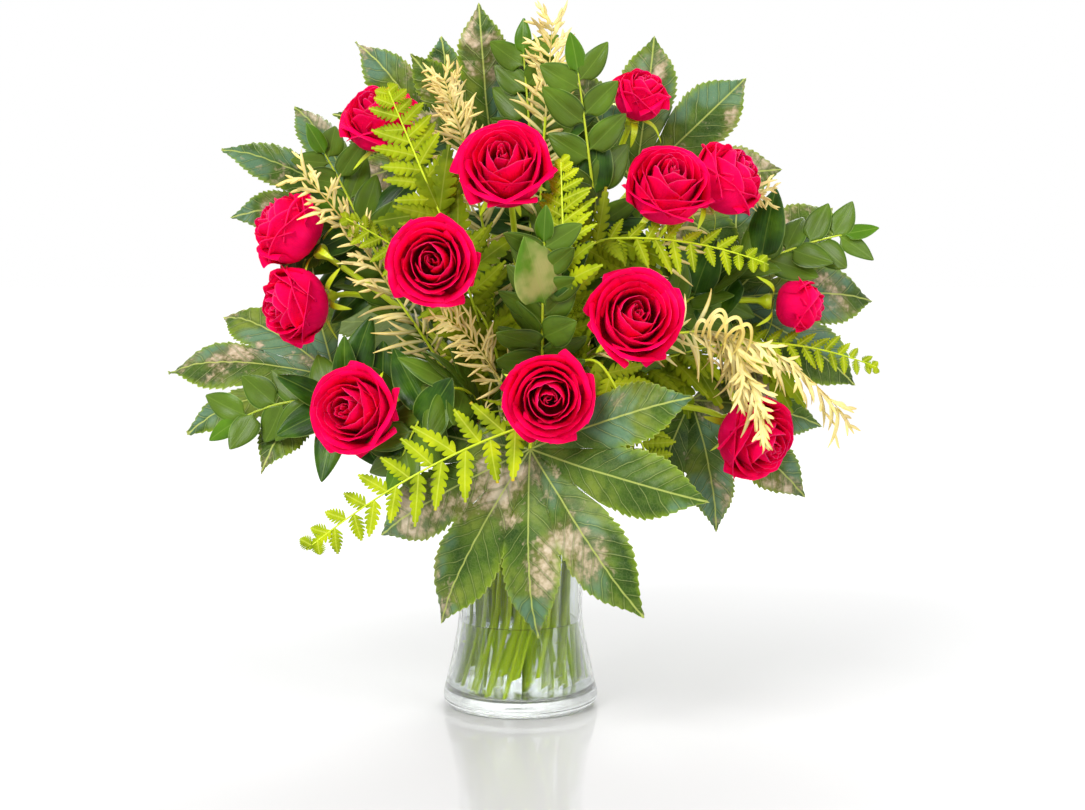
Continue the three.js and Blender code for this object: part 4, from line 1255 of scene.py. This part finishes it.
def add_oval_leaf(net, rng, stand, length, width, fall, young):
    """One thick oval leaf with a short stalk, folded a little along its rib."""
    place, way, beside, face = stand
    rows = np.concatenate([[0, 0.04], np.linspace(0.09, 0.96, 12), [0.985, 1.0]])
    along, column = np.meshgrid(rows, np.linspace(-1, 1, 9), indexing="ij")
    shape = np.sin(np.pi * np.clip(along, 0, 1) ** 0.82) ** 0.72 * (1 - 0.12 * along)
    stalk = smooth(along, 0.05, 0.16)
    half = np.maximum(width / 2 * shape * stalk, 0.35 * (1 - along) + 0.04)
    curve = rng.uniform(-0.1, 0.1)
    lean = np.radians(rng.uniform(-14, 14)) * along
    fold = rng.uniform(0.1, 0.3)
    across = half * column
    lift = -fall * along**2 + fold * np.abs(across) - 0.05 * length * np.abs(column) ** 3 * shape
    lift = lift + 0.5 * np.sin(along * 8 + rng.uniform(0, 6)) * np.abs(column)
    grid = set_out(
        place,
        (way, along * length),
        (beside, across * np.cos(lean) + curve * length * along**2),
        (face, lift + across * np.sin(lean)),
    )
    margin = np.maximum(np.abs(column), smooth(along, 0.93, 1.0)) * stalk
    uvs = together(across, along * length) * MM
    add_sheet(net, grid, OVAL_THICKNESS, uvs, together(margin, young, 0.0))


def build_shoot(index, materials):
    """One shoot: paired oval leaves up a green twig, with a leaf at its tip, and more leaves
    on its stalk."""
    *ends, size = SHOOTS[index]
    rib = Rib(*ends)
    rng = dice("shoot", index)
    net = Net()
    sideways, onward = math.cos(RUSCUS_FORWARD), math.sin(RUSCUS_FORWARD)
    for k in range(RUSCUS_PAIRS):
        s = k / RUSCUS_PAIRS
        for hand in (-1, 1):
            place, heading, side, face = rib.spot(s + (0.3 + 0.12 * hand) / RUSCUS_PAIRS)
            way = side * hand * sideways + heading * (onward + rng.uniform(-0.2, 0.15))
            stand = aimed(place, way + face * rng.uniform(-0.3, 0.2), face)
            length = OVAL_LENGTH * mix(1, 0.8, s) * size * rng.uniform(0.88, 1.12)
            width = OVAL_WIDTH * mix(1, 0.8, s) * size * rng.uniform(0.95, 1.25)
            fall = 0.3 * math.sin(k * 2.1 + hand) * length
            add_oval_leaf(net, rng, stand, length, width, fall, smooth(s, 0.4, 1.0) * 0.6)
    length, width = OVAL_LENGTH * 0.75 * size, OVAL_WIDTH * 0.7 * size
    add_oval_leaf(net, rng, rib.spot(0.9), length, width, 2, 0.7)
    for stand, length, width, young in set_leaves(BROAD_LEAVES, index):
        add_oval_leaf(net, rng, stand, length, width, 5, young)
    rib.add_twig(net, 0.92, 1.1, 0.6, 7, [(0.1, 0, 0)] * 14, 1)
    stalk = stem_line("shoot", index, *rib.at(RIB_FOOT), STALK_STEPS)

    def aim(beside, heading, face):
        return beside * sideways + heading * onward + face * rng.uniform(-0.5, 0.5)

    leaves = stalk_leaves(rng, stalk, rib.roll, (0.2, 0.96), 10, aim, OVAL_LENGTH, (1.0, 1.3))
    for stand, length in leaves:
        width = OVAL_WIDTH * rng.uniform(1.0, 1.3)
        add_oval_leaf(net, rng, stand, length, width, length * rng.uniform(-0.1, 0.35), 0)
    add_stalk(net, stalk, 1.5, 1.1, 8)
    net.make(f"ruscus_{index + 1}", materials, f"ruscus_shoot_{index + 1}")


# ---- Grevillea spray -----------------------------------------------------------------------

GREVILLEA_PAIRS = 12
SIDE_TWIG_PAIRS = 9
GREVILLEA_FORWARD = 48.0
DROOPING_SPRAY = 1
NEEDLE_LENGTH = 36.0
NEEDLE_WIDTH = 3.6
NEEDLE_THICKNESS = 0.6

# The twigs beside the main one: the row of the spray that each grows from, its start, tip,
# arch and size.
SIDE_TWIGS = [
    (1, (141, -90, 269), (163, -104, 211), 10, 1.1),
    (1, (132, -90, 271), (152, -80, 232), 12, 0.9),
]
# The leaves that curl over: the row of the spray, the leaf's foot, half the width of the
# curl, its height and how far it leans.
CURLS = [
    (1, (122, -93, 270), 7.5, 21, 0.25),
    (1, (126, -95, 269), 6.0, 16, 0.05),
    (1, (131, -93, 269), 7.0, 19, 0.45),
    (1, (137, -95, 268), 4.5, 13, 0.6),
    (1, (143, -93, 267), 5.5, 14, 0.3),
    (1, (118, -93, 270), 5.0, 11, -0.1),
]


def add_needle(net, rng, stand, length, width, fall, green):
    """One narrow curved leaflet. Gives back the points of its rib."""
    place, way, beside, face = stand
    along, column = np.meshgrid(np.linspace(0, 1, 9), vec(-1, 0, 1), indexing="ij")
    half = width / 2 * np.sin(np.pi * np.clip(along * 0.93 + 0.05, 0, 1)) ** 0.6
    half = np.maximum(half * (1 - 0.25 * along), 0.12)
    curl = rng.uniform(-0.28, 0.28)
    hook = rng.uniform(-0.15, 0.35)
    lift = -fall * along**2 - hook * length * along**3 - 0.35 * half * np.abs(column)
    grid = set_out(
        place,
        (way, along * length * (1 - 0.12 * along)),
        (beside, half * column + curl * length * along**2),
        (face, lift),
    )
    marks = together(np.abs(column), np.clip(green * (1 - along), 0, 1), 0.0)
    uvs = together(half * column, along * length) * MM
    add_sheet(net, grid, NEEDLE_THICKNESS, uvs, marks)
    return grid[:, 1]


def add_needle_rows(net, rng, rib, size, pairs, forward, sag):
    """The forked leaflets on both sides of an arched twig, and the twig itself."""
    width = NEEDLE_WIDTH * size
    for k in range(pairs + 1):
        main = k % 2 == 0
        for hand in (-1, 1):
            place, heading, side, face = rib.spot(min(k / pairs, 0.97))
            onward = math.radians(forward + rng.uniform(-16, 16))
            raise_by = math.radians(rng.uniform(-10, 10) if main else rng.uniform(-50, 50))
            way = side * hand * math.cos(onward) + heading * math.sin(onward)
            way = way * math.cos(raise_by) + face * math.sin(raise_by) - vec(0, 0, sag)
            stand = aimed(place, way, face)
            length = NEEDLE_LENGTH * mix(1, 0.7, k / pairs) * size * (1 if main else 0.72)
            fall = length * 0.35 * math.sin(k / 2 * 2.4 + hand)
            line = add_needle(net, rng, stand, length, width, fall, rng.uniform(0.0, 0.45))
            for part, turn in ((2, 0.6), (3, -0.7), (5, 0.5)):
                if rng.uniform() >= 0.2:
                    prong = stand[1] + stand[2] * turn + face * rng.uniform(-0.3, 0.3)
                    reach = length * rng.uniform(0.3, 0.5)
                    prong = aimed(line[part], prong, face)
                    add_needle(net, rng, prong, reach, width * 0.75, 0, 0)
    marks = together(0.0, 0.4 * (1 - np.linspace(0, 1, 16)), 1.0)
    rib.add_twig(net, 1.0, 0.9, 0.3, 6, marks, 0)


def add_curl(net, foot, half_width, height, lean):
    """A long leaf that curls over and hangs down beside its foot."""
    turn = np.linspace(0, 1.25 * np.pi, 20)
    upward = unit(vec(lean, -0.25, 1))
    sideways = vec(1, 0.15, -lean)
    shift = half_width * (1 - np.cos(turn))
    line = set_out(vec(foot), (sideways, shift), (upward, height * np.sin(turn)))
    outward = unit(line - (vec(foot) + sideways * half_width))
    across = unit(np.cross(unit(np.gradient(line, axis=0)), vec(0, -1, 0) + 0.8 * outward))
    width = 1.5 * np.sin(np.linspace(0.35, np.pi - 0.05, len(turn))) ** 0.6
    width = width[:, None] * vec(-1, 0, 1)
    grid = line[:, None] + across[:, None] * width[..., None]
    uvs = together(width, np.linspace(0, height * 3, len(turn))[:, None]) * MM
    add_sheet(net, grid, NEEDLE_THICKNESS, uvs, (0, 0.15, 0))


def build_spray(index, materials):
    """One spray: narrow leaflets up wiry twigs, most of them forked into prongs, and single
    ones on its stalk."""
    *ends, size = SPRAYS[index]
    rib = Rib(*ends)
    rng = dice("spray", index)
    net = Net()
    hangs = index == DROOPING_SPRAY
    forward = GREVILLEA_FORWARD + (18 if hangs else 0)
    sag = 0.5 if hangs else 0.0
    add_needle_rows(net, rng, rib, size, GREVILLEA_PAIRS, forward, sag)
    for spray, *side_ends, side_size in SIDE_TWIGS:
        if spray == index:
            twig = Rib(*side_ends, rib.roll)
            add_needle_rows(net, rng, twig, side_size, SIDE_TWIG_PAIRS, forward, sag)
    for spray, *curl in CURLS:
        if spray == index:
            add_curl(net, *curl)
    stalk = stem_line("spray", index, *rib.at(RIB_FOOT), STALK_STEPS)

    def aim(beside, heading, face):
        return beside + heading * rng.uniform(0.3, 1.2) + face * rng.uniform(-1, 1)

    leaves = stalk_leaves(rng, stalk, rib.roll, (0.3, 1.0), 5, aim, NEEDLE_LENGTH, (0.7, 1.1))
    for stand, length in leaves:
        fall = length * rng.uniform(-0.1, 0.4)
        add_needle(net, rng, stand, length, NEEDLE_WIDTH * 0.9, fall, rng.uniform(0.3, 1.0))
    add_stalk(net, stalk, 1.3, 0.9, 8)
    node = f"grevillea_spray_{index + 1}"
    net.make(f"grevillea_{index + 1}", materials, node)


# ---- Vase and water ------------------------------------------------------------------------

SPIN_STEPS = 96
FOOT_ROUNDING = 7.0
RIM_ROUNDING = 1.5
WALL_FOOT = 20.0
DIMPLE_RADIUS = 24.0


def vase_radius(z):
    """The outside radius of the glass at a height."""
    if z < VASE_WAIST_HEIGHT:
        s = max(z - VASE_HEEL_HEIGHT, 0) / (VASE_WAIST_HEIGHT - VASE_HEEL_HEIGHT)
        share = math.sin(math.radians(90 * s)) * 0.35 + s * 0.65
        return mix(VASE_BASE_RADIUS, VASE_WAIST_RADIUS, share)
    s = (z - VASE_WAIST_HEIGHT) / (VASE_HEIGHT - VASE_WAIST_HEIGHT)
    return mix(VASE_WAIST_RADIUS, VASE_RIM_RADIUS, s * s)


def spin_profile(name, profile):
    """A round body: a profile of (radius, height) spun about the upright axis."""
    mesh = bpy.data.meshes.new(name)
    points = [(r * MM, 0, z * MM) for r, z in profile]
    mesh.from_pydata(points, [(i, i + 1) for i in range(len(points) - 1)], [])
    piece = new_object(name, mesh)
    bpy.ops.object.mode_set(mode="EDIT")
    bpy.ops.mesh.select_all(action="SELECT")
    bpy.ops.mesh.spin(steps=SPIN_STEPS, angle=2 * math.pi, center=(0, 0, 0), axis=(0, 0, 1))
    bpy.ops.mesh.select_all(action="SELECT")
    bpy.ops.mesh.remove_doubles(threshold=0.00002)
    bpy.ops.mesh.normals_make_consistent(inside=False)
    bpy.ops.object.mode_set(mode="OBJECT")
    bpy.ops.object.shade_smooth_by_angle(angle=math.radians(50))
    return piece


def rounding(middle, radius, start, end, steps):
    """Points round a rounded corner of a profile, between two angles."""
    turn = np.radians(np.linspace(start, end, steps))
    return [(middle[0] + radius * math.cos(a), middle[1] + radius * math.sin(a)) for a in turn]


def cove_middle():
    """The middle of the rounding inside the foot of the glass."""
    radius = vase_radius(GLASS_FLOOR) - GLASS_WALL - FOOT_ROUNDING
    return radius, GLASS_FLOOR + FOOT_ROUNDING


def build_vase(material):
    """The vase: a thick rounded foot, a waisted wall, and a fire-polished rim."""
    heel_middle = (VASE_BASE_RADIUS - FOOT_ROUNDING, FOOT_ROUNDING)
    lip_middle = (VASE_RIM_RADIUS - RIM_ROUNDING, VASE_HEIGHT - RIM_ROUNDING)
    top = VASE_HEIGHT - 2.5
    # The underside is a little hollow, so the vase stands on a ring.
    profile = [(0, 1.2), (30, 1.2), (42, 0.6), (44, 0.0)]
    profile += rounding(heel_middle, FOOT_ROUNDING, -90, 8, 9)
    profile += [(vase_radius(z), z) for z in np.linspace(11, top, 36)]
    profile += rounding(lip_middle, RIM_ROUNDING, 0, 180, 7)
    profile += [(vase_radius(z) - GLASS_WALL, z) for z in np.linspace(top, WALL_FOOT, 34)]
    profile += rounding(cove_middle(), FOOT_ROUNDING, 0, -90, 8)
    profile += [(DIMPLE_RADIUS, GLASS_FLOOR + 0.3), (0, GLASS_FLOOR + 0.6)]
    stand_in(spin_profile("vase_body", profile), [material], "vase")


def build_water(material):
    """The water: it fills the foot of the vase and climbs a little up the glass."""
    bottom = GLASS_FLOOR + WATER_GAP
    profile = [(0, bottom + 0.6), (DIMPLE_RADIUS, bottom + 0.3)]
    profile += rounding(cove_middle(), FOOT_ROUNDING - WATER_GAP, -90, 0, 8)
    for z in np.linspace(WALL_FOOT, WATER_LEVEL + 0.8, 14):
        profile.append((vase_radius(z) - GLASS_WALL - WATER_GAP, z))
    edge = profile[-1][0]
    profile += [(edge - 0.7, WATER_LEVEL + 0.25), (edge - 1.8, WATER_LEVEL + 0.05)]
    profile.append((0, WATER_LEVEL))
    stand_in(spin_profile("water_body", profile), [material], "water")


# ---- Stage ---------------------------------------------------------------------------------


def add_softbox(name, place, size, watts):
    """A square studio lamp that points at the middle of the bouquet."""
    lamp = bpy.data.lights.new(name, "AREA")
    lamp.shape = "SQUARE"
    lamp.size = size
    lamp.energy = watts
    rig = new_object(name, lamp)
    rig.location = place
    rig.rotation_euler = (Vector(LAMP_AIM) - Vector(place)).to_track_quat("-Z", "Y").to_euler()


def build_stage(stage):
    """A pale floor, soft studio light, and the camera."""
    bpy.ops.mesh.primitive_plane_add(size=stage.floor_size, location=(0, 0, 0))
    floor = bpy.context.object
    floor.name = "floor"
    bpy.ops.object.mode_set(mode="EDIT")
    bpy.ops.mesh.subdivide(number_cuts=1)
    bpy.ops.object.mode_set(mode="OBJECT")
    # Painted board: smooth enough to show a faint reflection. Away from the vase the board glows
    # with painted light that grows with distance, so it goes over into the white of the room.
    surface = {
        "Base Color": "#CCCCCC",
        "Roughness": 0.07,
        "Specular IOR Level": 0.42,
        "Emission Color": "#FFFFFF",
    }
    board, tree, _, place, _ = new_material("floor_painted_white_board", surface)
    away = put(tree, "VectorMath", {0: place}, 1, operation="LENGTH")
    glow = {0: away, 1: 0.1, 2: 1.2, 3: 0.04, 4: stage.floor_light}
    glow = put(tree, "MapRange", glow, interpolation_type="SMOOTHSTEP")
    tree.links.new(glow, tree.nodes["Principled BSDF"].inputs["Emission Strength"])
    floor.data.materials.append(board)
    world = bpy.data.worlds.new("studio")
    bpy.context.scene.world = world
    world.use_nodes = True
    tree = world.node_tree
    tree.nodes.clear()
    # The room is white to look at, and lights the bouquet less than it shows.
    lit = put(tree, "LightPath", out="Is Diffuse Ray")
    strength = put(tree, "MapRange", {0: lit, 3: 1.0, 4: stage.room_light})
    room = put(tree, "Background", {"Color": "#FFFFFF", "Strength": strength})
    put(tree, "OutputWorld", {"Surface": room})
    add_softbox("key_softbox", (-1.1, -1.8, 1.7), 1.2, stage.key_light)
    add_softbox("fill_softbox", (1.6, -1.4, 0.9), 1.4, stage.key_light * 0.35)
    add_softbox("back_softbox", (0.3, 1.5, 1.5), 1.2, stage.key_light * 0.5)
    camera = bpy.data.cameras.new("camera")
    camera.lens = CAMERA_LENS
    camera.sensor_width = CAMERA_SENSOR
    camera.clip_start = 0.05
    rig = new_object("camera", camera)
    rig.location = CAMERA_PLACE
    rig.rotation_euler = (math.radians(90 - CAMERA_TILT), 0, 0)
    bpy.context.scene.camera = rig
    bpy.context.scene.view_settings.view_transform = "Standard"


# ---- What a user may change ----------------------------------------------------------------


class RoseSettings(PropertyGroup):
    """Colours of the roses, as sRGB hex codes."""

    petal_red: StringProperty(name="Petal", description="The petals' main red", default="#FC0052")
    petal_deep: StringProperty(name="Folds", description="The red of the folds", default="#DC0042")
    petal_light: StringProperty(name="Light", description="The lightest red", default="#FF1460")
    # The pink of the rims is a painted highlight.
    petal_rim_highlight: StringProperty(name="Rim", description="The pink of the rims", default="#FF6A96")
    stem_green: StringProperty(name="Stem", description="The bark of the stems", default="#BCD024")


class FoliageSettings(PropertyGroup):
    """Colours of the foliage, as sRGB hex codes."""

    aralia_green: StringProperty(name="Aralia", description="The aralia leaves", default="#4A6418")
    vein_pale: StringProperty(name="Rib", description="The aralia leaves' ribs", default="#B4BE62")
    fern_green: StringProperty(name="Fern", description="The fern fronds", default="#8A9E08")
    ruscus_green: StringProperty(name="Ruscus", description="The oval leaves", default="#284A0A")
    grevillea_gold: StringProperty(
        name="Grevillea", description="The narrow leaves", default="#DCC462"
    )


class StageSettings(PropertyGroup):
    """The floor and the light."""

    floor_size: FloatProperty(
        name="Floor size", description="Width of the floor", default=40.0, unit="LENGTH"
    )
    room_light: FloatProperty(
        name="Room light", description="Strength of the even white light", default=0.5
    )
    # The floor's own glow: painted light that grows away from the vase.
    floor_light: FloatProperty(
        name="Floor light", description="Strength of the light from under the floor", default=0.24
    )
    key_light: FloatProperty(
        name="Key light", description="Power of the main lamp", default=70.0, unit="POWER"
    )


# ---- Operators -----------------------------------------------------------------------------


def build_each(rows, build, material):
    """Builds one piece for each row of a table."""
    for index in range(len(rows)):
        build(index, material)
    return {"FINISHED"}


def stalk_material():
    """The green stem's material, made once."""
    made = bpy.data.materials.get(STEM_BARK)
    return made or green_stem(bpy.context.scene.rose_settings)


class FLORIST_OT_stage(Operator):
    """Floor, studio light and camera"""

    bl_idname = "florist.stage"
    bl_label = "Stage"

    def execute(self, context):
        build_stage(context.scene.stage_settings)
        return {"FINISHED"}


class FLORIST_OT_vase(Operator):
    """Glass vase"""

    bl_idname = "florist.vase"
    bl_label = "Vase"

    def execute(self, context):
        build_vase(pressed_glass())
        return {"FINISHED"}


class FLORIST_OT_water(Operator):
    """Water in the vase"""

    bl_idname = "florist.water"
    bl_label = "Water"

    def execute(self, context):
        build_water(clear_water())
        return {"FINISHED"}


class FLORIST_OT_rose_stems(Operator):
    """Rose stems with their thorns, hips and sepals"""

    bl_idname = "florist.rose_stems"
    bl_label = "Rose stems"

    def execute(self, context):
        return build_each(ROSES, build_rose_stem, stalk_material())


class FLORIST_OT_blooms(Operator):
    """Rose blooms, petal by petal"""

    bl_idname = "florist.blooms"
    bl_label = "Rose blooms"

    def execute(self, context):
        return build_each(ROSES, build_bloom, petal_velvet(context.scene.rose_settings))


class FLORIST_OT_aralia(Operator):
    """Palmate aralia leaves"""

    bl_idname = "florist.aralia"
    bl_label = "Aralia leaves"

    def execute(self, context):
        blade = aralia_leather(context.scene.foliage_settings)
        return build_each(ARALIAS, build_aralia, [blade, stalk_material()])


class FLORIST_OT_ferns(Operator):
    """Leather fern fronds"""

    bl_idname = "florist.ferns"
    bl_label = "Fern fronds"

    def execute(self, context):
        blade = frond_skin(context.scene.foliage_settings)
        return build_each(FERNS, build_fern, [blade, stalk_material()])


class FLORIST_OT_shoots(Operator):
    """Ruscus shoots"""

    bl_idname = "florist.shoots"
    bl_label = "Ruscus shoots"

    def execute(self, context):
        blade = ruscus_gloss(context.scene.foliage_settings)
        return build_each(SHOOTS, build_shoot, [blade, stalk_material()])


class FLORIST_OT_sprays(Operator):
    """Grevillea sprays"""

    bl_idname = "florist.sprays"
    bl_label = "Grevillea sprays"

    def execute(self, context):
        blade = grevillea_gold(context.scene.foliage_settings)
        return build_each(SPRAYS, build_spray, [blade, stalk_material()])


class FLORIST_PT_panel(Panel):
    """The pieces in the order in which they are made"""

    bl_idname = "FLORIST_PT_panel"
    bl_label = "Roses in a vase"
    bl_space_type = "VIEW_3D"
    bl_region_type = "UI"
    bl_category = "Roses"

    def draw(self, context):
        for operator in OPERATORS:
            self.layout.operator(operator.bl_idname)
        for group in ("rose_settings", "foliage_settings", "stage_settings"):
            settings = getattr(context.scene, group)
            for name in settings.__annotations__:
                self.layout.prop(settings, name)


OPERATORS = (
    FLORIST_OT_stage,
    FLORIST_OT_vase,
    FLORIST_OT_water,
    FLORIST_OT_rose_stems,
    FLORIST_OT_blooms,
    FLORIST_OT_aralia,
    FLORIST_OT_ferns,
    FLORIST_OT_shoots,
    FLORIST_OT_sprays,
)
CLASSES = (RoseSettings, FoliageSettings, StageSettings, *OPERATORS, FLORIST_PT_panel)


def register():
    """Adds the classes and the scene's settings."""
    for entry in CLASSES:
        bpy.utils.register_class(entry)
    bpy.types.Scene.rose_settings = PointerProperty(type=RoseSettings)
    bpy.types.Scene.foliage_settings = PointerProperty(type=FoliageSettings)
    bpy.types.Scene.stage_settings = PointerProperty(type=StageSettings)


def unregister():
    """Removes what register adds."""
    del bpy.types.Scene.stage_settings
    del bpy.types.Scene.foliage_settings
    del bpy.types.Scene.rose_settings
    for entry in reversed(CLASSES):
        bpy.utils.unregister_class(entry)


def main():
    """Builds everything."""
    register()
    bpy.ops.object.select_all(action="DESELECT")
    for operator in OPERATORS:
        family, name = operator.bl_idname.split(".")
        getattr(getattr(bpy.ops, family), name)()
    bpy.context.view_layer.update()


if __name__ == "__main__":
    main()
